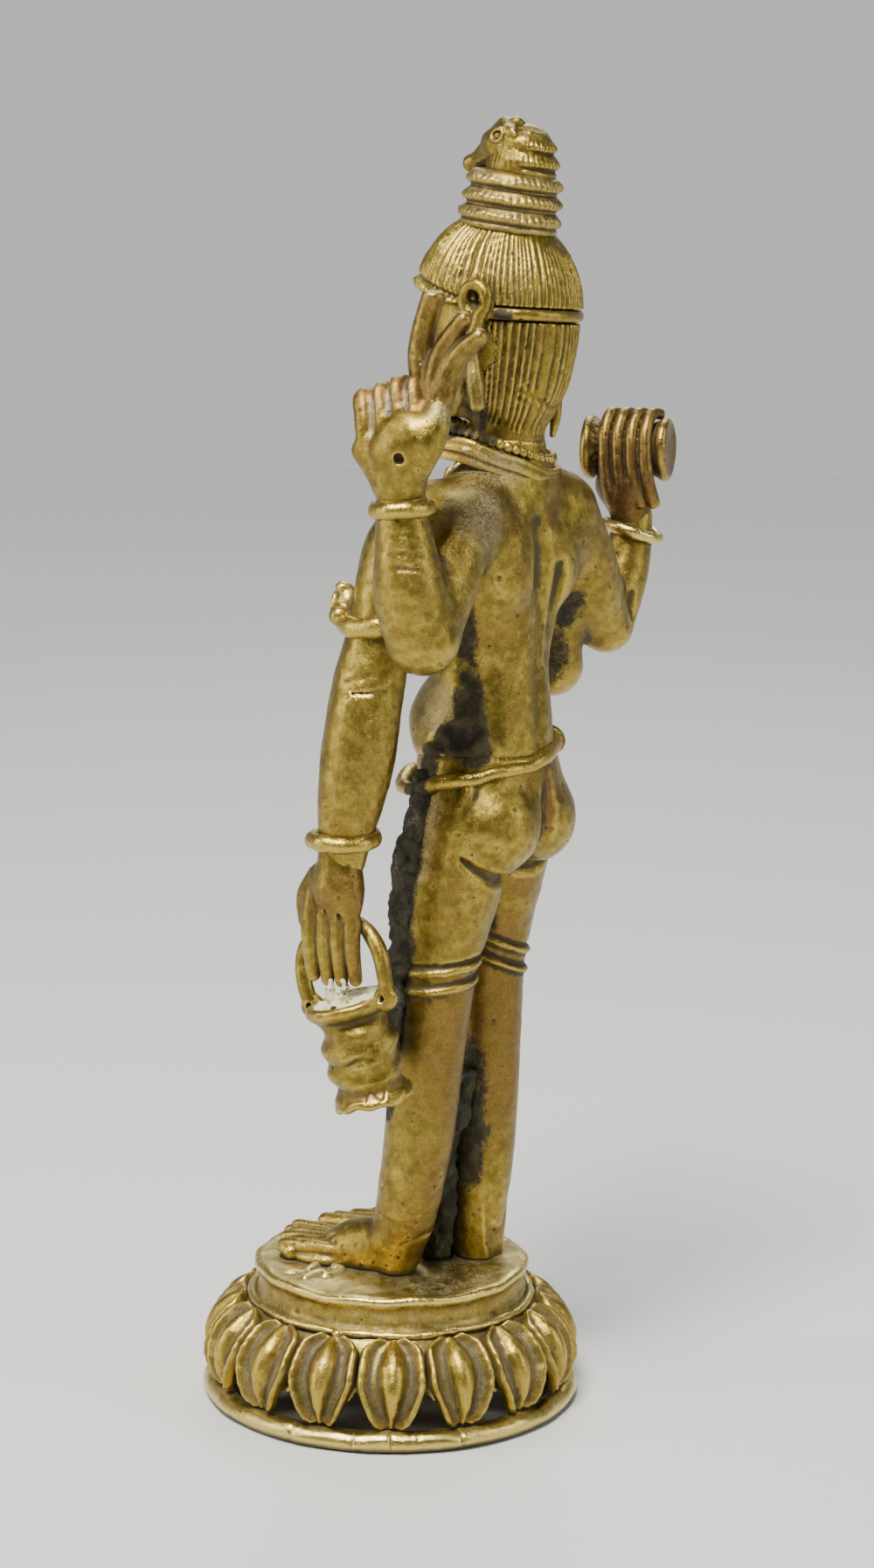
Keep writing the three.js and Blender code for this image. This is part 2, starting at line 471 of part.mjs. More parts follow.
// ---------------------------------------------------------------- casting crust
const sideCrust = () =>
  limb([[7.9, 9.6, 74.0, 1.6], [8.9, 8.4, 68.0, 2.2], [9.0, 7.0, 61.0, 2.0], [8.2, 6.2, 53.0, 1.6]], 0, 8);
const webCrust = () =>
  limb([[-1.3, 6.4, 18.6, 1.6], [-1.3, 7.0, 24.0, 2.0], [-1.3, 7.8, 31.0, 1.9], [-1.2, 9.4, 36.0, 2.3]], 0, 8);

// ---------------------------------------------------------------- assembly
const group = new THREE.Group();
function node(name, s, material) {
  const m = largest(s).getMesh();
  const g = new THREE.BufferGeometry();
  g.setAttribute("position", new THREE.BufferAttribute(new Float32Array(m.vertProperties), 3));
  g.setIndex(new THREE.BufferAttribute(new Uint32Array(m.triVerts), 1));
  g.computeVertexNormals();
  const mesh = new THREE.Mesh(g, steel(material));
  mesh.name = name;
  group.add(mesh);
  return mesh;
}
const cut = (s, ...tools) => tools.flat().reduce((a, b) => a.subtract(b), s);

const ringSolid = footRing();
node("base_foot_ring", ringSolid, WORN);
const collarSolid = collar();
const plinthSolid = cut(plinth(), collar(SEAM));
node("plinth", plinthSolid, BRASS);
node("petal_collar", collarSolid, WORN);
for (let k = 0; k < PETALS; k++)
  node(
    "lotus_petal_" + String(k + 1).padStart(2, "0"),
    cut(petal(k), collar(SEAM), plinthPuff(), ringPuff()),
    BRASS,
  );
function plinthPuff() {
  return turned([
    [0, PLATE_TOP + 1], [DRUM_RADIUS + SEAM, PLATE_TOP + 1], [DRUM_RADIUS + SEAM, COLLAR_Z - 0.3], [DRUM_RADIUS + 1.5, 11.3],
    [18.35, 10.15], [19.7, 8.45], [20.35, 6.6], [20.0, 6.1], [0, 6.1],
  ], 32);
}
function ringPuff() {
  return turned([[0, -1], [RING_OUTER + 1, -1], [RING_OUTER + 1, RING_HEIGHT + SEAM], [0, RING_HEIGHT + SEAM]], 12);
}

const legL = leftLeg(), legR = rightLeg();
node("left_leg", cut(legL, pelvis(SEAM)), BRASS);
node("right_leg", cut(legR, pelvis(SEAM), limb(LEFT_LEG, SEAM)), BRASS);
node("pelvis", pelvis(), WORN);
node("torso", torso(), BRASS);
node("head_and_neck", head(), BRASS);
node("hair_cap", cut(hairCap(), ear(1, SEAM), ear(-1, SEAM)), BRASS);
node("hair_band", cut(hairBand(), ear(1, SEAM), ear(-1, SEAM)), WORN);
node("nape_hair", cut(napeHair(), ear(1, SEAM), ear(-1, SEAM)), BRASS);
node("topknot_band_lower", cut(knotLow(), blob(CAP.c, CAP.r, [0, 0, 0], SEAM, 18, 11)), WORN);
node("topknot_band_middle", knotMid(), WORN);
node("topknot_band_upper", knotTop(), WORN);
const crestSolid = crest();
node("topknot_dome", cut(dome(), crest(SEAM)), BRASS);
node("crest_animal_head", cut(crestSolid, knotTop().translate([0, 0, SEAM])), BROWN);
for (const [side, s] of [["left", 1], ["right", -1]]) {
  node(side + "_ear", cut(ear(s), skull(SEAM)), BRASS);
  node(side + "_earring", cut(earring(s), ear(s, SEAM), loft(NAPE, SEAM, 20)), BROWN);
}
node("necklace_ribbon", cut(ribbon(), torso(SEAM), loft(NECK, SEAM, 14)), WORN);
node("necklace_beads", cut(beadRow(), ribbon(SEAM), loft(NECK, SEAM, 14), loft(NAPE, SEAM, 20)), BRASS);
node("chest_pendant", cut(pendant(), torso(SEAM), ribbon(SEAM)), BRASS);
node("girdle_wire", cut(girdle(), torso(SEAM), pelvis(SEAM)), WORN);

const lfArm = cut(leftFrontArm(), torso(SEAM));
const lrArm = cut(leftRearArm(), torso(SEAM), limb(LEFT_FRONT_ARM, SEAM));
const rfArm = cut(rightFrontArm(), torso(SEAM));
const rrArm = cut(rightRearArm(), torso(SEAM), rightFrontArm(SEAM));
node("left_front_arm", lfArm, WORN);
node("left_rear_arm", lrArm, BRASS);
node("right_front_arm", rfArm, BRASS);
node("right_rear_arm", rrArm, BRASS);
node("left_front_armlet", cut(armlet(), limb(LEFT_FRONT_ARM, SEAM), leftRearArm(SEAM)), WORN);
node("left_front_armlet_jewel", cut(armletJewel(), limb(LEFT_FRONT_ARM, SEAM), armlet(SEAM)), WORN);
node("left_front_bangle", cut(bangleLF(), limb(LEFT_FRONT_ARM, SEAM)), WORN);
node("left_rear_bangle", cut(bangleLR(), leftRearArm(SEAM)), WORN);
node("right_rear_bangle", cut(bangleRR(), rightRearArm(SEAM)), WORN);
node("right_front_bangle", cut(bangleRF(), rightFrontArm(SEAM)), WORN);
node("left_front_hand", cut(leftFrontHand(), limb(LEFT_FRONT_ARM, SEAM), potHandle(SEAM)), BROWN);
node("left_rear_hand", cut(leftRearHand(), leftRearArm(SEAM)), BRASS);
node("right_rear_hand", cut(rightRearHand(), rightRearArm(SEAM), handDrum(SEAM)), BROWN);
node("right_front_hand", cut(rightFrontHand(), rightFrontArm(SEAM)), BRASS);
node("held_three_prong_emblem", cut(prongs(), leftRearHand(SEAM)), BROWN);
node("hand_drum", handDrum(), BROWN);
node("water_pot", cut(pot(), limb(LEFT_LEG, SEAM)), BROWN);
node("water_pot_handle", cut(potHandle(), pot(SEAM)), BRASS);
node("side_crust", cut(sideCrust(), limb(LEFT_LEG, SEAM), pelvis(SEAM), girdle(SEAM), pot(SEAM)), CRUST);
node("leg_web_crust", cut(webCrust(), limb(LEFT_LEG, SEAM), limb(RIGHT_LEG, SEAM)), CRUST);

// The origin goes to the middle of the object's box, on the surface it stands on.
const box = new THREE.Box3().setFromObject(group);
group.position.set(-(box.min.x + box.max.x) / 2, -(box.min.y + box.max.y) / 2, -box.min.z);

export default group;
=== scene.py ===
import math

import bpy
import numpy as np
from mathutils import Matrix, Vector

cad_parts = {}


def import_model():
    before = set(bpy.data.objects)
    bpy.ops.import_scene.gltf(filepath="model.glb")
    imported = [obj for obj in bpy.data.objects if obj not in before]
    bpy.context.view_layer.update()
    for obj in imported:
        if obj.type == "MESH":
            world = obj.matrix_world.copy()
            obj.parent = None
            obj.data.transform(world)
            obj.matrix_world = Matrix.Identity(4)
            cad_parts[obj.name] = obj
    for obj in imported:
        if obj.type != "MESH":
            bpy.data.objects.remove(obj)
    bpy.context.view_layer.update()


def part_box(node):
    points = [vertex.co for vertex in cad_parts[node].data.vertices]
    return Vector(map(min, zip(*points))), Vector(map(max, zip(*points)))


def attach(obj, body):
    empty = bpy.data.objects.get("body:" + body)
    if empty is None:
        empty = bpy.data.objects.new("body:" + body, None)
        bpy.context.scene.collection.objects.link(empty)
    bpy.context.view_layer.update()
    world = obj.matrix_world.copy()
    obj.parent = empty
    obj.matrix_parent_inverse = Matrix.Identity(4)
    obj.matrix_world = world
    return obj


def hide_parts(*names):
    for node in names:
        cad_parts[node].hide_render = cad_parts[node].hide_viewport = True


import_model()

# ------------------------------------------------------------------ frame
# All shapes below are written in millimetres about the axis of the foot ring; G moves them into the row frame.
_rl, _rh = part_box("base_foot_ring")
G = np.array([(_rl.x + _rh.x) * 500.0, (_rl.y + _rh.y) * 500.0, 0.0])
BX = -1.5  # the figure's own centre plane
f32 = np.float32


def rot(rx, ry, rz):
    a, b, c = math.radians(rx), math.radians(ry), math.radians(rz)
    X = np.array([[1, 0, 0], [0, math.cos(a), -math.sin(a)], [0, math.sin(a), math.cos(a)]])
    Y = np.array([[math.cos(b), 0, math.sin(b)], [0, 1, 0], [-math.sin(b), 0, math.cos(b)]])
    Z = np.array([[math.cos(c), -math.sin(c), 0], [math.sin(c), math.cos(c), 0], [0, 0, 1]])
    return X @ Y @ Z


# ------------------------------------------------------------------ noise
_tab = np.random.default_rng(11).random((32, 32, 32)).astype(f32) * 2 - 1


def noise(P, scale, seed=0.0):
    """Smooth value noise from -1 to 1 at points P, scale in cells per millimetre."""
    q = np.asarray(P, f32) * f32(scale) + f32(100.37 + 7.31 * seed)
    i = np.floor(q).astype(np.int32)
    f = q - i
    f = f * f * (3 - 2 * f)
    i &= 31
    j = (i + 1) & 31
    x0, y0, z0 = i[..., 0], i[..., 1], i[..., 2]
    x1, y1, z1 = j[..., 0], j[..., 1], j[..., 2]
    fx, fy, fz = f[..., 0], f[..., 1], f[..., 2]
    a = _tab[x0, y0, z0] * (1 - fx) + _tab[x1, y0, z0] * fx
    b = _tab[x0, y1, z0] * (1 - fx) + _tab[x1, y1, z0] * fx
    c = _tab[x0, y0, z1] * (1 - fx) + _tab[x1, y0, z1] * fx
    d = _tab[x0, y1, z1] * (1 - fx) + _tab[x1, y1, z1] * fx
    return (a * (1 - fy) + b * fy) * (1 - fz) + (c * (1 - fy) + d * fy) * fz


def fbm(P, scale, seed=0.0, octaves=3, gain=0.5):
    s, a, t = 0.0, 1.0, 0.0
    for o in range(octaves):
        s = s + a * noise(P, scale * 2.03**o, seed + o * 3.7)
        t += a
        a *= gain
    return s / t


# ------------------------------------------------------------------ curves
def hermite(xs, ys, x):
    """Smooth curve through (xs, ys) at x, with finite-difference slopes."""
    xs, ys, x = np.asarray(xs, float), np.asarray(ys, float), np.asarray(x, float)
    m = np.gradient(ys, xs, axis=0)
    i = np.clip(np.searchsorted(xs, x, side="right") - 1, 0, len(xs) - 2)
    h = xs[i + 1] - xs[i]
    t = np.clip((x - xs[i]) / h, 0, 1)
    if ys.ndim > 1:
        h, t = h[..., None], t[..., None]
    t2, t3 = t * t, t * t * t
    return (2 * t3 - 3 * t2 + 1) * ys[i] + (t3 - 2 * t2 + t) * h * m[i] + (3 * t2 - 2 * t3) * ys[i + 1] + (t3 - t2) * h * m[i + 1]


def resample(st, step):
    st = np.asarray(st, float)
    if len(st) < 3:
        return st
    s = np.concatenate([[0], np.cumsum(np.linalg.norm(np.diff(st[:, :3], axis=0), axis=1))])
    n = max(3, int(math.ceil(s[-1] / step)) + 1)
    return hermite(s, st, np.linspace(0, s[-1], n))


# ------------------------------------------------------------------ volumes
def smin(a, b, k):
    if k <= 0:
        return np.minimum(a, b)
    h = np.maximum(k - np.abs(a - b), 0) / k
    return np.minimum(a, b) - h * h * (k * 0.25)


class Field:
    """A signed distance volume on a regular grid, negative inside."""

    def __init__(s, lo, hi, h):
        s.h, s.lo = h, np.array(lo, float)
        n = np.ceil((np.array(hi, float) - s.lo) / h).astype(int) + 1
        s.n = n
        s.F = np.full(tuple(n), 9, f32)
        s.ax = [(s.lo[i] + h * np.arange(n[i])).astype(f32) for i in range(3)]

    def block(s, lo, hi):
        sl = []
        for i in range(3):
            a = max(0, int(math.floor((lo[i] - s.lo[i]) / s.h)))
            b = min(s.n[i], int(math.ceil((hi[i] - s.lo[i]) / s.h)) + 1)
            sl.append(slice(a, max(a, b)))
        return tuple(sl), s.ax[0][sl[0]][:, None, None], s.ax[1][sl[1]][None, :, None], s.ax[2][sl[2]][None, None, :]

    def put(s, lo, hi, fn, k=0.0, op=1):
        pad = k + 2.5 * s.h
        sl, X, Y, Z = s.block(np.asarray(lo) - pad, np.asarray(hi) + pad)
        if min(X.size, Y.size, Z.size) == 0:
            return s
        d = fn(X, Y, Z).astype(f32)
        s.F[sl] = smin(s.F[sl], d, k) if op > 0 else -smin(-s.F[sl], d, k)
        return s

    def chain(s, st, k=0.0, op=1, step=0.7):
        P = resample(st, step)
        pad = k + 2.5 * s.h
        r = P[:, 3:4]
        lo, hi = (P[:, :3] - r).min(0), (P[:, :3] + r).max(0)
        sl, X, Y, Z = s.block(lo - pad, hi + pad)
        if min(X.size, Y.size, Z.size) == 0:
            return s
        T = np.full((X.size, Y.size, Z.size), 9, f32)
        ax = [X.ravel(), Y.ravel(), Z.ravel()]
        for a, b in zip(P[:-1], P[1:]):
            R = max(a[3], b[3]) + pad
            w = []
            for i in range(3):
                i0 = np.searchsorted(ax[i], min(a[i], b[i]) - R)
                i1 = np.searchsorted(ax[i], max(a[i], b[i]) + R)
                w.append(slice(i0, i1))
            w = tuple(w)
            x, y, z = ax[0][w[0]][:, None, None] - f32(a[0]), ax[1][w[1]][None, :, None] - f32(a[1]), ax[2][w[2]][None, None, :] - f32(a[2])
            ab = (b[:3] - a[:3]).astype(f32)
            L2 = max(float(ab @ ab), 1e-9)
            t = np.clip((x * ab[0] + y * ab[1] + z * ab[2]) / f32(L2), 0, 1)
            d = np.sqrt((x - t * ab[0]) ** 2 + (y - t * ab[1]) ** 2 + (z - t * ab[2]) ** 2) - (f32(a[3]) + f32(b[3] - a[3]) * t)
            np.minimum(T[w], d, out=T[w])
        s.F[sl] = smin(s.F[sl], T, k) if op > 0 else -smin(-s.F[sl], T, k)
        return s

    def blob(s, c, r, turn=(0, 0, 0), k=0.0, op=1):
        c, r = np.array(c, float), np.array(r, float)
        R = rot(*turn).T.astype(f32)
        e = np.full(3, r.max())

        def fn(X, Y, Z):
            x, y, z = X - f32(c[0]), Y - f32(c[1]), Z - f32(c[2])
            a = (R[0, 0] * x + R[0, 1] * y + R[0, 2] * z) / f32(r[0])
            b = (R[1, 0] * x + R[1, 1] * y + R[1, 2] * z) / f32(r[1])
            g = (R[2, 0] * x + R[2, 1] * y + R[2, 2] * z) / f32(r[2])
            k0 = np.sqrt(a * a + b * b + g * g)
            k1 = np.sqrt((a / f32(r[0])) ** 2 + (b / f32(r[1])) ** 2 + (g / f32(r[2])) ** 2) + f32(1e-5)
            return k0 * (k0 - 1) / k1

        return s.put(c - e, c + e, fn, k, op)

    def loft(s, rings, k=0.0, op=1, edge=1.0, power=2.0):
        A = np.asarray(rings, float)
        z0, z1 = A[0, 0], A[-1, 0]
        lo = [(A[:, 1] - A[:, 3]).min(), (A[:, 2] - A[:, 4]).min(), z0]
        hi = [(A[:, 1] + A[:, 3]).max(), (A[:, 2] + A[:, 4]).max(), z1]

        def fn(X, Y, Z):
            zc = np.clip(Z.ravel(), z0, z1)
            cx, cy, rx, ry = (hermite(A[:, 0], A[:, i], zc).astype(f32)[None, None, :] for i in (1, 2, 3, 4))
            x, y = np.abs(X - cx) / rx, np.abs(Y - cy) / ry
            if power == 2.0:
                k0 = np.sqrt(x * x + y * y)
            else:
                k0 = (x**power + y**power) ** (1 / power)
            k1 = np.sqrt((x / rx) ** 2 + (y / ry) ** 2) / np.maximum(np.sqrt(x * x + y * y), f32(1e-3)) + f32(1e-5)
            d = (k0 - 1) / k1
            dz = np.abs(Z - f32((z0 + z1) / 2)) - f32((z1 - z0) / 2)
            return -smin(-d, -dz, edge)

        return s.put(lo, hi, fn, k, op)

    def ring(s, c, rx, ry, r, turn=(0, 0, 0), k=0.0, op=1, wide=1.0):
        c = np.array(c, float)
        R = rot(*turn).T.astype(f32)
        e = np.full(3, max(rx, ry) + r)

        def fn(X, Y, Z):
            x, y, z = X - f32(c[0]), Y - f32(c[1]), Z - f32(c[2])
            a = R[0, 0] * x + R[0, 1] * y + R[0, 2] * z
            b = R[1, 0] * x + R[1, 1] * y + R[1, 2] * z
            g = R[2, 0] * x + R[2, 1] * y + R[2, 2] * z
            th = np.arctan2(b / f32(ry), a / f32(rx))
            dr = np.hypot(a - f32(rx) * np.cos(th), b - f32(ry) * np.sin(th))
            return np.hypot(dr, g / f32(wide)) - f32(r)

        return s.put(c - e, c + e, fn, k, op)

    def half(s, p, n, k=0.0):
        """Cuts away what lies on the side that n points to."""
        n = np.array(n, float)
        n /= np.linalg.norm(n)
        X, Y, Z = (a.reshape(sh) for a, sh in zip(s.ax, ((-1, 1, 1), (1, -1, 1), (1, 1, -1))))
        d = ((X - f32(p[0])) * f32(n[0]) + (Y - f32(p[1])) * f32(n[1]) + (Z - f32(p[2])) * f32(n[2])).astype(f32)
        s.F = -smin(-s.F, -d, k)
        return s

    def grid(s):
        return s.ax[0][:, None, None], s.ax[1][None, :, None], s.ax[2][None, None, :]

    def sample(s, P):
        q = (P - s.lo) / s.h
        i = np.clip(np.floor(q).astype(int), 0, s.n - 2)
        f = np.clip(q - i, 0, 1)
        v = 0
        for dx in (0, 1):
            for dy in (0, 1):
                for dz in (0, 1):
                    w = (f[:, 0] if dx else 1 - f[:, 0]) * (f[:, 1] if dy else 1 - f[:, 1]) * (f[:, 2] if dz else 1 - f[:, 2])
                    v = v + w * s.F[i[:, 0] + dx, i[:, 1] + dy, i[:, 2] + dz]
        return v


EDGES = [(0, 1), (2, 3), (4, 5), (6, 7), (0, 2), (1, 3), (4, 6), (5, 7), (0, 4), (1, 5), (2, 6), (3, 7)]
CORNER = np.array([[(c >> 2) & 1, (c >> 1) & 1, c & 1] for c in range(8)], float)


def skin(f, smooth=1, biggest=True):
    """The closed surface of a Field as vertices and quads."""
    F = f.F
    for a in range(3):  # keep the solid off the volume's border, so that the skin always closes
        ix = [slice(None)] * 3
        for e in (0, 1, -1, -2):
            ix[a] = e
            F[tuple(ix)] = np.maximum(F[tuple(ix)], f32(0.05))
    S = F < 0
    n = [d - 1 for d in F.shape]
    cnt = np.zeros(n, np.int8)
    for c in CORNER.astype(int):
        cnt += S[c[0] : c[0] + n[0], c[1] : c[1] + n[1], c[2] : c[2] + n[2]]
    idx = np.flatnonzero((cnt > 0) & (cnt < 8))
    I = np.stack(np.unravel_index(idx, cnt.shape), 1)
    vid = np.full(cnt.shape, -1, np.int32)
    vid.ravel()[idx] = np.arange(len(idx))
    val = np.stack([F[I[:, 0] + int(c[0]), I[:, 1] + int(c[1]), I[:, 2] + int(c[2])] for c in CORNER]).astype(float)
    acc, num = np.zeros((len(idx), 3)), np.zeros(len(idx))
    for a, b in EDGES:
        m = (val[a] < 0) != (val[b] < 0)
        t = val[a][m] / (val[a][m] - val[b][m])
        acc[m] += CORNER[a] + t[:, None] * (CORNER[b] - CORNER[a])
        num[m] += 1
    V = f.lo + f.h * (I + acc / num[:, None])
    quads = []
    for ax in range(3):
        b, c = (ax + 1) % 3, (ax + 2) % 3
        lo = [slice(None)] * 3
        hi = [slice(None)] * 3
        lo[ax], hi[ax] = slice(0, -1), slice(1, None)
        lo[b] = hi[b] = slice(1, -1)
        lo[c] = hi[c] = slice(1, -1)
        A, B = S[tuple(lo)], S[tuple(hi)]
        for sign in (1, -1):
            e = np.stack(np.nonzero((A & ~B) if sign > 0 else (B & ~A)), 1)
            e[:, b] += 1
            e[:, c] += 1
            ob, oc = np.zeros(3, int), np.zeros(3, int)
            ob[b], oc[c] = 1, 1
            q = [vid[tuple((e - ob - oc).T)], vid[tuple((e - oc).T)], vid[tuple(e.T)], vid[tuple((e - ob).T)]]
            quads.append(np.stack(q if sign > 0 else q[::-1], 1))
    Q = np.concatenate(quads)
    if biggest:
        lab = np.arange(len(V))
        for _ in range(200):
            m = lab[Q].min(1)
            new = lab.copy()
            for j in range(4):
                np.minimum.at(new, Q[:, j], m)
            new = new[new]
            if (new == lab).all():
                break
            lab = new
        best = np.bincount(lab).argmax()
        keep = lab == best
        remap = np.cumsum(keep) - 1
        V, Q = V[keep], remap[Q[keep[Q[:, 0]]]]
    for _ in range(smooth):
        V = V + 0.5 * (around(V, edges_of(Q)) - V)
        e = f.h * 0.5
        d = f.sample(V)
        g = np.stack([(f.sample(V + np.eye(3)[i] * e) - f.sample(V - np.eye(3)[i] * e)) / (2 * e) for i in range(3)], 1)
        step = d / np.maximum((g * g).sum(1), 0.3)
        V = V - g * np.clip(step, -f.h * 0.6, f.h * 0.6)[:, None]
    return V, Q


def edges_of(Q, T=None):
    e = [Q[:, [0, 1]], Q[:, [1, 2]], Q[:, [2, 3]], Q[:, [3, 0]]] if len(Q) else []
    if T is not None and len(T):
        e += [T[:, [0, 1]], T[:, [1, 2]], T[:, [2, 0]]]
    return np.concatenate(e)


def around(V, E):
    n = len(V)
    i, j = np.concatenate([E[:, 0], E[:, 1]]), np.concatenate([E[:, 1], E[:, 0]])
    c = np.maximum(np.bincount(i, minlength=n), 1)
    return np.stack([np.bincount(i, V[j, a], n) / c for a in range(V.shape[1])], 1)


def normals(V, Q, T=None):
    N = np.zeros_like(V)

    def add(F, fn):
        for j in range(F.shape[1]):
            for a in range(3):
                N[:, a] += np.bincount(F[:, j], fn[:, a], len(V))

    if len(Q):
        add(Q, np.cross(V[Q[:, 2]] - V[Q[:, 0]], V[Q[:, 3]] - V[Q[:, 1]]))
    if T is not None and len(T):
        add(T, np.cross(V[T[:, 1]] - V[T[:, 0]], V[T[:, 2]] - V[T[:, 0]]))
    return N / np.maximum(np.linalg.norm(N, axis=1), 1e-12)[:, None]


# ------------------------------------------------------------------ swept meshes
def lathe(profile, nth, step=0.25, at=(0, 0, 0), turn=(0, 0, 0), pivot=None):
    """A closed turned mesh: profile [r, z] from axis to axis, going up the outside. Returns V, Q, T."""
    P = np.asarray(profile, float)
    out = [P[0]]
    for a, b in zip(P[:-1], P[1:]):
        n = max(1, int(round(np.linalg.norm(b - a) / step)))
        for i in range(1, n + 1):
            out.append(a + (b - a) * i / n)
    P = np.array(out)
    mid = P[1:-1].copy()
    for _ in range(2):  # soften the profile's corners
        m2 = mid.copy()
        m2[1:-1] = mid[1:-1] * 0.5 + (mid[:-2] + mid[2:]) * 0.25
        mid = m2
    mid[:, 0] = np.maximum(mid[:, 0], 0.05)
    n = len(mid)
    th = np.arange(nth) * 2 * math.pi / nth
    C, Sn = np.cos(th), np.sin(th)
    V = np.stack([mid[:, 0:1] * C, mid[:, 0:1] * Sn, np.repeat(mid[:, 1:2], nth, 1)], 2).reshape(-1, 3)
    V = np.vstack([V, [[0, 0, P[0, 1]], [0, 0, P[-1, 1]]]])
    j, j2 = np.arange(nth), (np.arange(nth) + 1) % nth
    Q = np.concatenate([np.stack([i * nth + j, i * nth + j2, (i + 1) * nth + j2, (i + 1) * nth + j], 1) for i in range(n - 1)])
    T = np.concatenate([np.stack([np.full(nth, n * nth), j2, j], 1), np.stack([np.full(nth, n * nth + 1), (n - 1) * nth + j, (n - 1) * nth + j2], 1)])
    return V, Q, T


def place(V, at=(0, 0, 0), turn=(0, 0, 0), pivot=(0, 0, 0)):
    pv = np.array(pivot, float)
    return (V - pv) @ rot(*turn).T + pv + np.array(at, float)


def hoop(c, rx, ry, r, turn=(0, 0, 0), nth=160, nph=14, wide=1.0, rad=None, lift=None):
    """A closed ring of wire. rad(theta, phi) scales the wire, lift(theta) moves it along its own axis."""
    th = np.arange(nth) * 2 * math.pi / nth
    ph = np.arange(nph) * 2 * math.pi / nph
    TH, PH = np.meshgrid(th, ph, indexing="ij")
    nx, ny = np.cos(TH) / rx, np.sin(TH) / ry
    L = np.hypot(nx, ny)
    R = r * (rad(TH, PH) if rad else 1.0)
    x = rx * np.cos(TH) + R * np.cos(PH) * nx / L
    y = ry * np.sin(TH) + R * np.cos(PH) * ny / L
    z = wide * R * np.sin(PH) + (lift(TH) if lift else 0)
    V = np.stack([x, y, z], 2).reshape(-1, 3) @ rot(*turn).T + np.array(c, float)
    i, j = np.meshgrid(np.arange(nth), np.arange(nph), indexing="ij")
    i, j = i.ravel(), j.ravel()
    i2, j2 = (i + 1) % nth, (j + 1) % nph
    Q = np.stack([i * nph + j, i2 * nph + j, i2 * nph + j2, i * nph + j2], 1)
    return V, Q

# ------------------------------------------------------------------ surface state
def near(P, c, r, soft=0.5):
    """1 at c, falling to 0 at distance r (r may be three half-axes)."""
    q = np.linalg.norm((P - np.array(c, float)) / np.array(r, float), axis=1)
    return np.clip((1 - q) / soft, 0, 1)


def along(P, pts, r, soft=0.5):
    """1 on the polyline through pts, falling to 0 at distance r."""
    pts = np.asarray(pts, float)
    best = np.full(len(P), 1e9)
    for a, b in zip(pts[:-1], pts[1:]):
        ab = b - a
        t = np.clip(((P - a) @ ab) / (ab @ ab), 0, 1)
        best = np.minimum(best, np.linalg.norm(P - a - t[:, None] * ab, axis=1))
    return np.clip((1 - best / r) / soft, 0, 1)


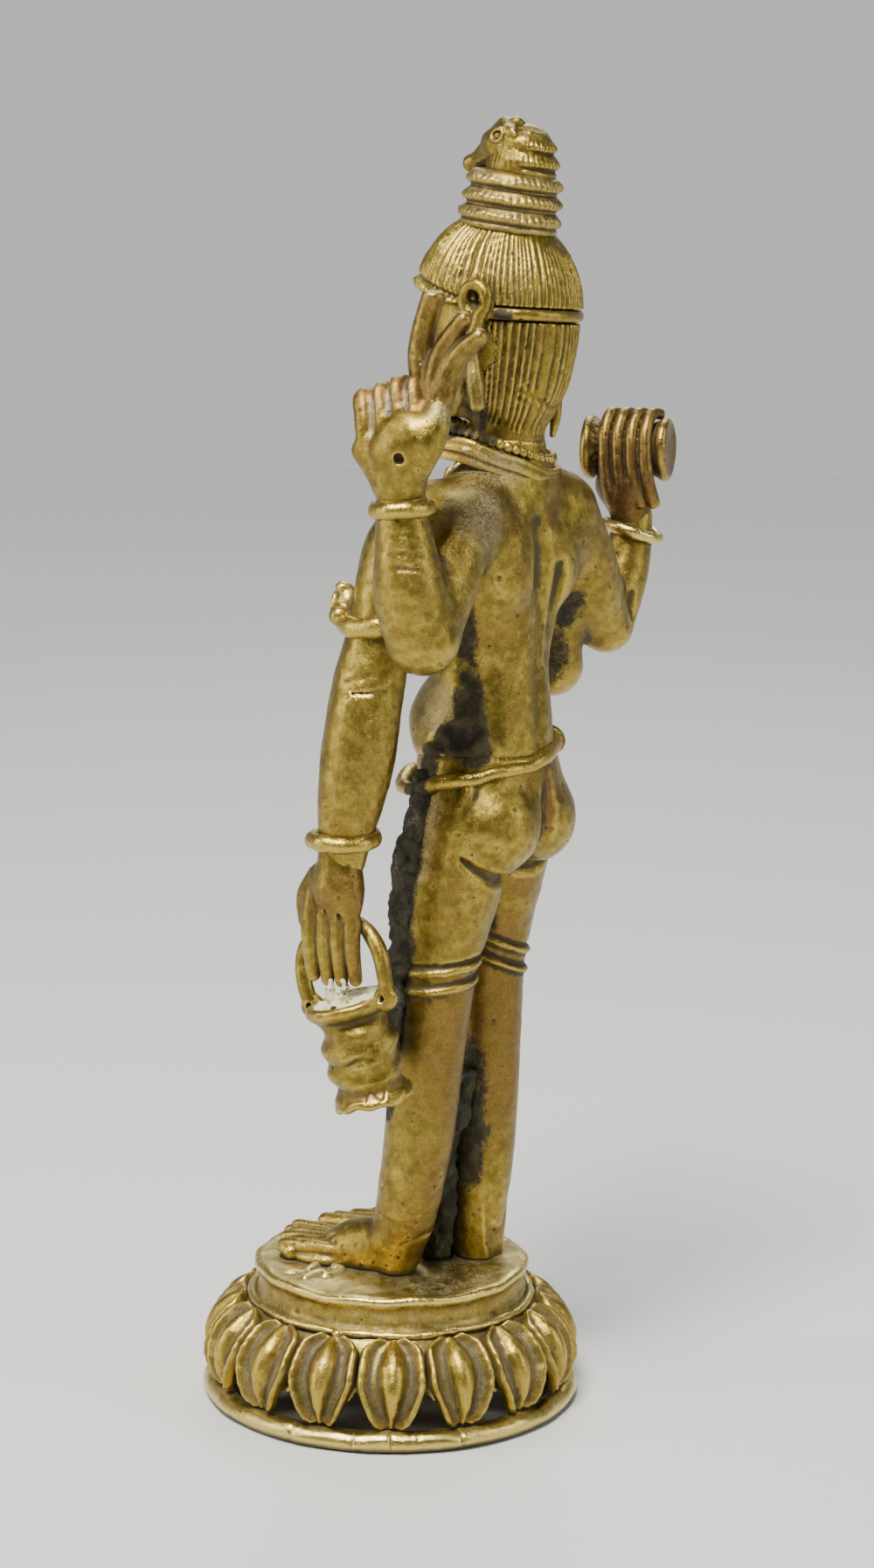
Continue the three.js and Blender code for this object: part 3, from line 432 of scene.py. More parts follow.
def state(P, N):
    """Brown patina, black crust, grey film and cream deposit over the whole figure, by place; the black and brown also
    carry painted shade, and the feet painted light.
    """
    big, mid, fine = noise(P, 0.23, 1), fbm(P, 0.55, 2), fbm(P, 1.9, 3)
    ragged = 0.55 * mid + 0.45 * fine
    brown = np.clip(0.20 + 0.42 * big + 0.22 * mid, 0, 1)
    dark = np.zeros(len(P))
    grey = np.zeros(len(P))
    cream = np.zeros(len(P))

    def lay(t, w, amount=1.0, rag=0.9):
        return np.maximum(t, amount * np.clip((w + rag * ragged * np.sqrt(np.clip(w, 0, 1))) * 1.5 - 0.25, 0, 1))

    # left flank under the arms (dark crust and painted shade), the hollow above the girdle and the strip down the
    # outside of the thigh
    dark = lay(dark, along(P, [(8.4, 13.0, 99.5), (7.4, 13.8, 92), (6.6, 14.6, 85), (6.0, 15.2, 80)], (3.3), 0.6), 0.78)
    dark = lay(dark, near(P, (6.6, 13.2, 81.0), (3.6, 3.8, 2.9)), 1.0)
    dark = lay(dark, along(P, [(8.2, 9.4, 78.5), (9.4, 9.0, 72), (9.4, 7.9, 64), (8.6, 7.2, 55), (7.6, 5.6, 44), (7.4, 4.8, 38)], 3.1, 0.5), 0.95)
    # between the legs: dark core residue and painted shade
    dark = lay(dark, near(P, (-1.6, 8.4, 33), (3.6, 8, 17)), 0.95)
    dark = lay(dark, near(P, (-1.9, 13.0, 57.5), (2.0, 4.0, 6.5)), 0.8)
    # behind the left ear, the side of the nape and the neck under it
    dark = lay(dark, along(P, [(6.8, 18.7, 128.0), (6.4, 18.2, 124), (5.4, 17.4, 119), (4.6, 15.8, 115)], 2.2, 0.6), 0.85)
    dark = lay(dark, near(P, (5.0, 12.0, 116.5), (4.0, 4.5, 4.5)), 0.9)
    # painted shade in black and brown: armpits, the shadowed insides of the right arms and the back right of the hips
    dark = lay(dark, near(P, (-13.5, 13.6, 95.5), (3.2, 4.5, 5.0)), 0.75)
    dark = lay(dark, near(P, (-12.6, 12.5, 89.0), (3.0, 4.0, 5.0)), 0.6)
    brown = np.maximum(brown, 0.85 * near(P, (-17, 12, 94), (5.5, 5, 8)))
    brown = np.maximum(brown, 0.8 * near(P, (-15, 8, 89), (3.5, 7, 6)))
    brown = np.maximum(brown, 0.7 * near(P, (-3.0, 20, 75), (3.0, 4, 6)))
    # ankles and soles; brown over the legs is painted shade, and less brown on the tops of the feet is painted light
    brown = np.maximum(brown, 0.20 * near(P, (4, 8, 19), (5, 5, 3.2)))
    brown = np.maximum(brown, 0.55 * near(P, (-1, 9, 46), (15, 13, 25), 0.4))
    brown = brown * (1 - 0.8 * near(P, (4, -3, 18), (9, 13, 6)))
    brown = np.maximum(brown, 0.35 * near(P, (-7, 9, 22), (5, 6, 6)))
    # grey film: left shoulder, belly side, upper back and the outside of the left hip
    grey = lay(grey, near(P, (10.5, 18.5, 106.5), (5.0, 5.0, 7.5), 0.6), 0.85, 0.6)
    grey = lay(grey, near(P, (7.5, 9.5, 84.5), (4.0, 4.5, 4.5)), 0.7)
    grey = lay(grey, near(P, (5.5, 16.5, 111.0), (5.0, 5.0, 3.0)), 0.75)
    grey = lay(grey, along(P, [(8.8, 11.4, 73), (9.0, 10.4, 66)], 2.2), 0.65)
    cream = lay(cream, near(P, (8.6, 16.6, 112.0), (2.6, 3.0, 2.0)), 1.0)
    cream = lay(cream, near(P, (8.0, 14.6, 113.6), (1.5, 1.6, 1.0)), 0.9)
    return np.clip(brown, 0, 1), np.clip(dark, 0, 1), np.clip(grey, 0, 1), np.clip(cream, 0, 1)


vertex_total = [0]


def build(name, V, Q, T=None, nodes=None, kind="aged", hammer=0.06, grain=0.02, pits=0.0, brown=0.0, dark=0.0, grey=0.0, cream=None, worn=0.0, masks=None, reach=1.0):
    """Weathers a skin, writes what the materials need at each vertex, and makes the piece."""
    T = np.zeros((0, 3), int) if T is None else T
    E = edges_of(Q, T)
    N = normals(V, Q, T)
    if hammer or grain:
        V = V + N * (hammer * fbm(V, 0.33, 4, 2) + grain * fbm(V, 1.15, 5, 2))[:, None]
    if pits:
        L = float(np.linalg.norm(V[E[:, 0]] - V[E[:, 1]], axis=1).mean())
        rng = np.random.default_rng(len(V))
        count = int(pits * len(V) * L * L * 0.01)
        push = np.zeros(len(V))
        for c in rng.choice(len(V), min(count, len(V)), replace=False):
            r = rng.uniform(0.20, 0.42)
            near_by = np.flatnonzero(np.abs(V - V[c]).max(1) < r)
            q = np.linalg.norm(V[near_by] - V[c], axis=1) / r
            push[near_by] += rng.uniform(0.04, 0.13) * np.clip(1 - q * q, 0, 1)
        V = V - N * np.minimum(push, 0.22)[:, None]
    N = normals(V, Q, T)
    L = max(float(np.linalg.norm(V[E[:, 0]] - V[E[:, 1]], axis=1).mean()), 1e-3)
    W = V
    cav = np.zeros(len(V))
    for it, (passes, weight) in enumerate(((2, 0.9), (6, 0.8))):
        for _ in range(passes):
            W = W + 0.6 * (around(W, E) - W)
        cav += weight * ((W - V) * N).sum(1)
    cav = np.clip(cav / 0.10 * reach, -1, 1)
    b, d, g, c = state(V, N)
    b = np.clip(b + brown, 0, 1)
    d = np.maximum(d, dark)
    g = np.maximum(g, grey)
    if cream is not None:
        c = np.maximum(c, cream(V))
    if masks is not None:
        b, d, g, c = masks(V, b, d, g, c)
    me = bpy.data.meshes.new(name)
    F = (V + G) / 1000.0
    me.vertices.add(len(F))
    me.vertices.foreach_set("co", F.astype(f32).ravel())
    loops = np.concatenate([Q.ravel(), T.ravel()]).astype(np.int32)
    starts = np.concatenate([np.arange(len(Q)) * 4, len(Q) * 4 + np.arange(len(T)) * 3]).astype(np.int32)
    me.loops.add(len(loops))
    me.loops.foreach_set("vertex_index", loops)
    me.polygons.add(len(starts))
    me.polygons.foreach_set("loop_start", starts)
    me.polygons.foreach_set("use_smooth", np.ones(len(starts), bool))
    me.update(calc_edges=True)
    me.validate()
    me.attributes.new("cav", "FLOAT", "POINT").data.foreach_set("value", cav.astype(f32))
    # wear attribute: the piece's worn value, raised on the tops of the feet as painted light and lowered over the legs
    # as painted shade
    me.attributes.new("wear_and_light", "FLOAT", "POINT").data.foreach_set("value", (worn + 0.42 * near(V, (3, -3, 17.5), (13, 15, 4.5), 0.6) - 0.40 * near(V, (-1, 9, 46), (15, 13, 25), 0.4)).astype(f32))
    me.attributes.new("cream", "FLOAT", "POINT").data.foreach_set("value", c.astype(f32))
    state_rgb = np.stack([b, d, g, np.ones(len(V))], 1)
    me.attributes.new("film", "FLOAT_COLOR", "POINT").data.foreach_set("color", state_rgb.astype(f32).ravel())
    ob = bpy.data.objects.new("v_" + name, me)
    bpy.context.scene.collection.objects.link(ob)
    me.materials.append(MAT[kind])
    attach(ob, "root")
    nodes = [name] if nodes is None else nodes
    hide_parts(*nodes)
    vertex_total[0] += len(V)
    return ob


def cast(name, f, smooth=1, **kw):
    V, Q = skin(f, smooth)
    return build(name, V, Q, **kw)


# ------------------------------------------------------------------ materials
class Tree:
    def __init__(s, name):
        s.mat = bpy.data.materials.new(name)
        s.mat.use_nodes = True
        s.t = s.mat.node_tree
        s.t.nodes.clear()

    def link(s, value, socket):
        if isinstance(value, bpy.types.NodeSocket):
            s.t.links.new(value, socket)
        else:
            socket.default_value = value

    def node(s, kind, **props):
        n = s.t.nodes.new(kind)
        for k, v in props.items():
            setattr(n, k, v)
        return n

    def math(s, op, a, b=0.0, clamp=False):
        n = s.node("ShaderNodeMath", operation=op, use_clamp=clamp)
        s.link(a, n.inputs[0])
        s.link(b, n.inputs[1])
        return n.outputs[0]

    def band(s, x, lo, hi, a=0.0, b=1.0):
        n = s.node("ShaderNodeMapRange", interpolation_type="SMOOTHSTEP")
        s.link(x, n.inputs["Value"])
        for k, v in (("From Min", lo), ("From Max", hi), ("To Min", a), ("To Max", b)):
            n.inputs[k].default_value = v
        return n.outputs[0]

    def mix(s, f, a, b, mode="MIX"):
        n = s.node("ShaderNodeMix", data_type="RGBA", blend_type=mode)
        s.link(f, n.inputs[0])
        for v, i in ((a, 6), (b, 7)):
            s.link(v if isinstance(v, bpy.types.NodeSocket) else (*v, 1.0), n.inputs[i])
        return n.outputs[2]

    def lerp(s, f, a, b):
        n = s.node("ShaderNodeMix", data_type="FLOAT")
        s.link(f, n.inputs[0])
        s.link(a, n.inputs[2])
        s.link(b, n.inputs[3])
        return n.outputs[0]

    def noise(s, P, scale, detail=4.0, rough=0.55):
        n = s.node("ShaderNodeTexNoise")
        s.link(P, n.inputs["Vector"])
        n.inputs["Scale"].default_value = scale
        n.inputs["Detail"].default_value = detail
        n.inputs["Roughness"].default_value = rough
        return n.outputs[0]


def brass(name, base, gold, brown, tint=0.0, shine=0.0, crusty=False):
    s = Tree(name)
    co = s.node("ShaderNodeTexCoord").outputs["Object"]
    sc = s.node("ShaderNodeVectorMath", operation="SCALE")
    s.link(co, sc.inputs[0])
    sc.inputs["Scale"].default_value = 1000.0
    P = sc.outputs[0]
    blotch = s.noise(P, 0.16, 5, 0.6)
    mottle = s.noise(P, 0.75, 5, 0.62)
    speck = s.noise(P, 3.6, 4, 0.65)
    dust = s.noise(P, 9.0, 3, 0.6)
    # fine brush strokes in two directions
    strokes = []
    for turn, sc3 in (((0.5, 0.2, 0.9), (0.5, 6.5, 6.5)), ((1.2, -0.4, 0.2), (7.0, 7.0, 0.6))):
        m = s.node("ShaderNodeMapping")
        s.link(P, m.inputs["Vector"])
        m.inputs["Rotation"].default_value = turn
        m.inputs["Scale"].default_value = sc3
        strokes.append(s.noise(m.outputs[0], 1.0, 3, 0.6))
    stroke = s.math("MAXIMUM", s.band(strokes[0], 0.60, 0.74), s.band(strokes[1], 0.62, 0.76))
    vor = s.node("ShaderNodeTexVoronoi")
    s.link(P, vor.inputs["Vector"])
    vor.inputs["Scale"].default_value = 1.35
    pit = s.math("MULTIPLY", s.band(vor.outputs["Distance"], 0.05, 0.17, 1.0, 0.0), s.band(mottle, 0.53, 0.62))
    cav = s.node("ShaderNodeAttribute", attribute_name="cav").outputs["Fac"]
    wear_and_light = s.node("ShaderNodeAttribute", attribute_name="wear_and_light").outputs["Fac"]
    cream = s.node("ShaderNodeAttribute", attribute_name="cream").outputs["Fac"]
    film = s.node("ShaderNodeSeparateColor")
    s.link(s.node("ShaderNodeAttribute", attribute_name="film").outputs["Color"], film.inputs[0])
    fb, fd, fg = film.outputs[0], film.outputs[1], film.outputs[2]
    ao = s.node("ShaderNodeAmbientOcclusion", samples=6)
    ao.inputs["Distance"].default_value = 0.0022
    shade = s.math("SUBTRACT", 1.0, ao.outputs["AO"])
    # masks
    # hollow: concave and occluded places, darkened to near-black below as real dirt and as painted shade
    hollow = s.math("ADD", s.math("MULTIPLY", s.math("MAXIMUM", cav, 0.0), 1.05), s.math("MULTIPLY", s.band(shade, 0.22, 0.80), 1.05))
    hollow = s.math("ADD", hollow, s.math("MULTIPLY", s.math("SUBTRACT", mottle, 0.5), 0.55))
    dirt_and_shade = s.band(hollow, 0.14, 0.72)
    # raised parts, and places where the wear attribute is high, go lighter gold: rubbed wear and a painted highlight
    raised_wear_and_highlight = s.math("ADD", s.math("MULTIPLY", s.math("MAXIMUM", s.math("MULTIPLY", cav, -1.0), 0.0), 1.0), wear_and_light)
    raised_wear_and_highlight = s.band(s.math("ADD", raised_wear_and_highlight, s.math("MULTIPLY", s.math("SUBTRACT", blotch, 0.5), 0.7)), 0.12, 0.75)
    patina = s.band(s.math("ADD", fb, s.math("ADD", s.math("MULTIPLY", s.math("SUBTRACT", mottle, 0.5), 0.9), s.math("MULTIPLY", s.math("SUBTRACT", speck, 0.5), 0.35))), 0.18, 0.85)
    # colours
    c = s.mix(s.band(blotch, 0.36, 0.64), base, [x * y for x, y in zip(base, (0.83, 0.92, 0.72))])
    c = s.mix(s.band(mottle, 0.40, 0.70), c, gold)
    stain = s.noise(P, 0.42, 6, 0.68)
    c = s.mix(s.math("MULTIPLY", s.band(stain, 0.48, 0.70), 0.50), c, [x * 0.62 for x in brown])
    c = s.mix(s.math("MULTIPLY", patina, 0.86), c, brown)
    # lighter gold on raised parts: wear and painted highlight
    c = s.mix(s.math("MULTIPLY", raised_wear_and_highlight, 0.72), c, [min(1, x * 1.35) for x in gold])
    c = s.mix(s.math("MULTIPLY", s.band(speck, 0.53, 0.70), 0.50), c, (0.06, 0.046, 0.018))
    c = s.mix(s.math("MULTIPLY", stroke, 0.26), c, (0.78, 0.63, 0.26))
    # near-black in hollows and occluded gaps: dirt and painted shade
    c = s.mix(s.math("MULTIPLY", dirt_and_shade, 0.88), c, (0.042, 0.032, 0.013))
    greymask = s.math("MULTIPLY", fg, s.band(s.math("ADD", speck, s.math("MULTIPLY", dust, 0.35)), 0.50, 0.74, 1.0, 0.15))
    c = s.mix(s.math("MULTIPLY", greymask, 0.78), c, (0.36, 0.34, 0.25))
    green = s.mix(s.band(mottle, 0.42, 0.62), (0.013, 0.010, 0.005), (0.040, 0.038, 0.018))
    # near-black green over the dark state channel: casting crust, and painted shade in the armpits, on the left flank
    # and between the legs
    crust_and_shade_mask = s.band(s.math("ADD", fd, s.math("MULTIPLY", s.math("SUBTRACT", speck, 0.5), 0.9)), 0.22, 0.72)
    c = s.mix(s.math("MULTIPLY", crust_and_shade_mask, 0.93), c, green)
    c = s.mix(s.math("MULTIPLY", pit, 0.75), c, (0.03, 0.022, 0.01))
    creammask = s.band(s.math("ADD", cream, s.math("MULTIPLY", s.math("SUBTRACT", speck, 0.5), 0.6)), 0.35, 0.62)
    c = s.mix(creammask, c, (0.62, 0.58, 0.36))
    # finish
    dull = s.math("MAXIMUM", s.math("MAXIMUM", s.math("MULTIPLY", dirt_and_shade, 0.75), crust_and_shade_mask), s.math("MAXIMUM", s.math("MULTIPLY", greymask, 0.8), creammask))
    rough = s.math("ADD", 0.35 - shine, s.math("MULTIPLY", s.math("SUBTRACT", speck, 0.5), 0.22))
    rough = s.math("SUBTRACT", rough, s.math("MULTIPLY", raised_wear_and_highlight, 0.07))
    rough = s.math("ADD", rough, s.math("MULTIPLY", patina, 0.06))
    rough = s.lerp(dull, rough, 0.82)
    metal = s.lerp(dull, s.lerp(patina, 0.97, 0.86), 0.12)
    high = s.math("ADD", s.math("MULTIPLY", mottle, 0.55), s.math("MULTIPLY", speck, 0.35))
    high = s.math("ADD", high, s.math("MULTIPLY", dust, 0.10))
    high = s.math("SUBTRACT", high, s.math("MULTIPLY", pit, 0.9))
    high = s.math("SUBTRACT", high, s.math("MULTIPLY", stroke, 0.10))
    high = s.math("ADD", high, s.math("MULTIPLY", creammask, 0.5))
    bump = s.node("ShaderNodeBump")
    bump.inputs["Strength"].default_value = 0.62
    bump.inputs["Distance"].default_value = 0.00021 if not crusty else 0.0004
    s.link(high, bump.inputs["Height"])
    bs = s.node("ShaderNodeBsdfPrincipled")
    s.link(c, bs.inputs["Base Color"])
    s.link(metal, bs.inputs["Metallic"])
    s.link(rough, bs.inputs["Roughness"])
    s.link(bump.outputs[0], bs.inputs["Normal"])
    out = s.node("ShaderNodeOutputMaterial")
    s.t.links.new(bs.outputs[0], out.inputs[0])
    return s.mat


MAT = {
    "aged": brass("brass_aged_skin", (0.225, 0.153, 0.027), (0.40, 0.290, 0.056), (0.150, 0.070, 0.022)),
    "worn": brass("brass_worn_skin", (0.32, 0.228, 0.045), (0.60, 0.47, 0.135), (0.18, 0.10, 0.034), shine=0.06),
    "brown": brass("brass_brown_skin", (0.175, 0.108, 0.028), (0.36, 0.245, 0.056), (0.115, 0.058, 0.024), shine=0.03),
    "crust": brass("casting_crust_skin", (0.026, 0.021, 0.010), (0.075, 0.062, 0.030), (0.02, 0.015, 0.008), crusty=True),
}

# ------------------------------------------------------------------ trunk and arms
LR_UP = [(8.6, 15.6, 106.4, 3.6), (13.0, 16.4, 101.5, 4.1), (18.4, 17.3, 93.6, 3.7)]
LR_FORE = [(18.8, 17.2, 93.4, 3.75), (20.2, 16.9, 98.0, 4.0), (21.4, 16.6, 105.4, 2.95), (21.8, 16.5, 109.6, 2.55)]
RR_UP = [(-10.4, 15.4, 106.0, 4.2), (-15.4, 15.2, 99.8, 4.0), (-22.0, 14.2, 92.0, 3.2)]
RR_FORE = [(-22.4, 14.2, 92.0, 3.25), (-24.6, 14.8, 97.5, 3.1), (-25.8, 15.2, 101.8, 2.6), (-26.0, 15.3, 104.6, 2.4)]
LF = [(10.6, 11.4, 106.2, 3.8), (13.2, 10.2, 103.0, 3.8), (15.6, 9.4, 94.0, 3.6), (17.2, 8.8, 87.0, 4.0), (18.3, 8.3, 79.5, 4.1), (19.3, 7.6, 71.6, 3.1), (19.6, 7.4, 68.4, 2.5)]
RF_UP = [(-12.6, 11.6, 104.8, 3.8), (-14.6, 11.6, 95.0, 3.6), (-15.6, 11.2, 87.6, 3.5)]
RF_FORE = [(-15.6, 10.8, 87.2, 3.5), (-14.9, 4.2, 91.0, 3.2), (-14.6, 0.8, 94.2, 2.5), (-14.5, -0.9, 96.0, 2.2)]
TORSO = [
    (77.6, BX, 11.3, 8.1, 7.3), (79.6, BX, 11.3, 8.5, 7.8), (82, BX, 11.2, 8.1, 7.9), (85.5, BX, 11.6, 7.5, 7.2), (89, BX, 12.3, 7.2, 6.2),
    (94, BX, 12.9, 8.4, 5.9), (99, BX, 13.2, 10.0, 6.2), (103.5, BX, 13.3, 11.8, 6.1), (107.2, BX, 13.4, 12.0, 5.4), (110, BX, 13.7, 9.8, 4.9), (111.8, BX, 13.9, 6.2, 4.4),
]


def body_upper():
    f = Field((-31, -5, 64.5), (27, 25, 114.5), 0.32)
    f.loft(TORSO, edge=1.6)
    f.chain([(BX, 13.9, 109, 5.2), (BX, 14.0, 114, 4.3)], 2.0)
    for x in (-6.6, 3.6):  # shoulder blades
        f.blob((x, 17.2, 101.5), (3.4, 2.4, 5.0), (8, 0, 0), 2.5)
        f.blob((x + (0.6 if x < 0 else -0.6), 8.6, 103.2), (4.4, 2.6, 3.4), (0, 0, 0), 2.5)  # chest
    f.blob((BX, 8.0, 82.2), (5.8, 5.2, 4.4), k=2.5)  # belly
    f.chain(LR_UP, 3.0)
    f.chain(LF, 2.4)
    f.chain(LR_FORE, 1.2)
    f.chain(RR_UP, 3.0)
    f.chain(RR_FORE, 0.8)
    f.chain(RF_UP, 2.4)
    f.chain(RF_FORE, 0.9)
    # spine groove, with two open nicks in it
    f.chain([(-0.6, 19.8, 105, 0.7), (-0.9, 19.9, 99, 0.9), (-1.6, 19.9, 93, 1.0), (-1.9, 19.6, 87, 0.8), (-1.6, 20.2, 81, 0.6)], 1.8, -1)
    f.chain([(0.9, 19.9, 102.4, 0.28), (0.7, 19.7, 99.6, 0.4), (0.3, 19.6, 97.6, 0.25)], 0.4, -1)
    f.chain([(-0.6, 19.2, 95.4, 0.3), (-1.2, 19.3, 93.4, 0.45)], 0.3, -1)
    # long fold right of the spine
    f.chain([(-4.4, 19.7, 100, 0.5), (-4.6, 19.0, 95, 0.7), (-4.8, 18.6, 90, 0.6)], 1.4, -1)
    # navel and the ragged casting hole above the girdle
    f.blob((BX, 3.0, 84.4), (0.8, 1.1, 0.8), k=0.6, op=-1)
    for c, r in (((7.4, 13.2, 81.2), (2.2, 2.6, 1.7)), ((6.6, 15.4, 82.0), (1.7, 1.7, 1.4)), ((7.6, 11.0, 80.2), (1.6, 1.6, 1.0)), ((6.2, 16.6, 80.6), (1.2, 1.5, 0.9)), ((7.4, 12.0, 83.2), (1.0, 0.9, 1.1)), ((6.8, 14.4, 83.8), (0.6, 0.7, 1.3))):
        f.blob(c, r, (0, 0, 20), 0.35, -1)
    # cuts on the flank below the shoulder blade
    for z, y in ((87.0, 17.6), (84.6, 18.0), (90.2, 17.4)):
        f.chain([(4.6, y + 0.6, z + 0.3, 0.22), (5.8, y - 0.4, z - 0.2, 0.3), (6.4, y - 1.4, z - 0.1, 0.2)], 0.2, -1)
    # creases under the raised left hand's bangle and inside the left front elbow
    for z, w in ((104.6, 26), (102.7, 30), (101.2, 22)):
        t = np.radians(np.linspace(37 - w, 37 + w, 7))
        cx, cy = np.interp(z, (98.0, 105.4), (20.2, 21.4)), 16.7
        rr = np.interp(z, (98.0, 105.4), (4.0, 2.95)) + 0.14
        f.chain([(cx + rr * math.cos(a), cy + rr * math.sin(a), z + 0.25 * math.sin(3 * a), 0.20) for a in t], 0.25, -1)
    for z, dz in ((88.6, 0.9), (87.0, 0.5), (89.8, 1.2)):
        t = np.radians(np.linspace(-5, 62, 8))
        f.chain([(16.9 + 4.0 * math.cos(a), 8.9 + 4.0 * math.sin(a), z + dz * math.sin(a), 0.17) for a in t], 0.25, -1)
    f.chain([(14.6, 12.9, 100.6, 0.3), (13.2, 14.0, 98.0, 0.5), (12.4, 14.6, 95.4, 0.3)], 0.8, -1)
    # slit at the right elbow
    f.chain([(-22.9, 17.6, 96.0, 0.35), (-22.6, 17.6, 94.4, 0.55), (-22.9, 17.4, 93.0, 0.3)], 0.35, -1)
    V, Q = skin(f)
    build("trunk_and_arms", V, Q, nodes=["torso", "left_rear_arm", "left_front_arm", "right_rear_arm", "right_front_arm"], hammer=0.09, grain=0.035, pits=5)


body_upper()

# ------------------------------------------------------------------ hips, legs and feet
PLATE = 16.4
LEFT_LEG = [(3.4, 12.2, 70, 6.0), (4.2, 11.2, 63.5, 5.6), (4.5, 9.8, 54.5, 4.5), (4.6, 8.4, 44, 4.3), (4.5, 7.0, 32, 4.0), (4.4, 5.4, 24.5, 3.6), (4.35, 4.5, 21.5, 3.1)]
RIGHT_LEG = [(-6.2, 11.6, 70, 5.8), (-6.8, 10.0, 63.5, 5.3), (-7.1, 8.7, 54.5, 4.4), (-7.1, 8.6, 44, 4.0), (-7.0, 8.4, 32, 3.8), (-7.0, 8.0, 24.5, 3.45), (-6.95, 7.9, 21.5, 3.0)]
PELVIS = [(67.2, BX, 12.8, 8.6, 5.6), (69.5, BX, 13.0, 10.0, 6.7), (72.5, BX, 12.9, 10.2, 7.4), (76, BX, 12.3, 9.6, 7.6), (79.2, BX, 11.7, 8.7, 7.6)]


def foot(f, x, y, side, turn):
    """A long flat foot: heel, low instep, and five narrow toes that fan out from the middle of the sole."""
    b = PLATE + 0.1
    f.chain([(x, y - 3.5, b + 1.8, 2.45), (x + side * (turn * 0.5 + 0.2), y - 9.5, b + 1.5, 3.0)], 1.2)
    f.chain([(x, y - 4.0, b + 4.0, 2.9), (x + side * (turn * 0.6 + 0.4), y - 8.2, b + 2.6, 2.7), (x + side * (turn * 0.6 + 0.5), y - 12.0, b + 1.2, 2.4)], 1.6)
    f.blob((x + side * (turn * 0.6 + 0.3), y - 13.4, b + 0.5), (4.6, 5.4, 1.5), k=1.0)
    f.blob((x - side * 2.5, y - 4.2, b + 4.6), (1.0, 1.3, 1.2), k=1.4)
    f.blob((x + side * 2.5, y - 3.8, b + 4.2), (1.0, 1.3, 1.2), k=1.4)
    tips = []
    for i in range(5):
        tx = x + side * (turn - 3.7 + i * 1.98)
        ty = y - 22.4 + i * i * 0.26 + i * 0.30
        root = x + side * (turn * 0.6 - 2.3 + i * 1.35)
        tips.append((tx, ty, root))
        r = 1.12 if i == 0 else 1.0 - i * 0.02
        f.chain([(root, y - 9.4, b + 2.9 - 0.30 * abs(i - 1), 0.55), (root * 0.55 + tx * 0.45, y - 13.4, b + 1.9, 0.78), (root * 0.25 + tx * 0.75, y - 17.2, b + 1.2, r * 1.0), (tx, ty + r + 0.2, b + 0.82, r)], 0.30, step=0.5)
    for (ax, ay, ar), (bx, by, br) in zip(tips[:-1], tips[1:]):
        mx, mr, my = (ax + bx) / 2, (ar + br) / 2, max(ay, by)
        f.chain([(mr, y - 10.0, b + 3.6, 0.12), (mr * 0.55 + mx * 0.45, y - 13.4, b + 2.6, 0.28), (mr * 0.25 + mx * 0.75, y - 17.0, b + 2.0, 0.32), (mx, my - 0.2, b + 1.4, 0.36)], 0.25, -1, step=0.5)


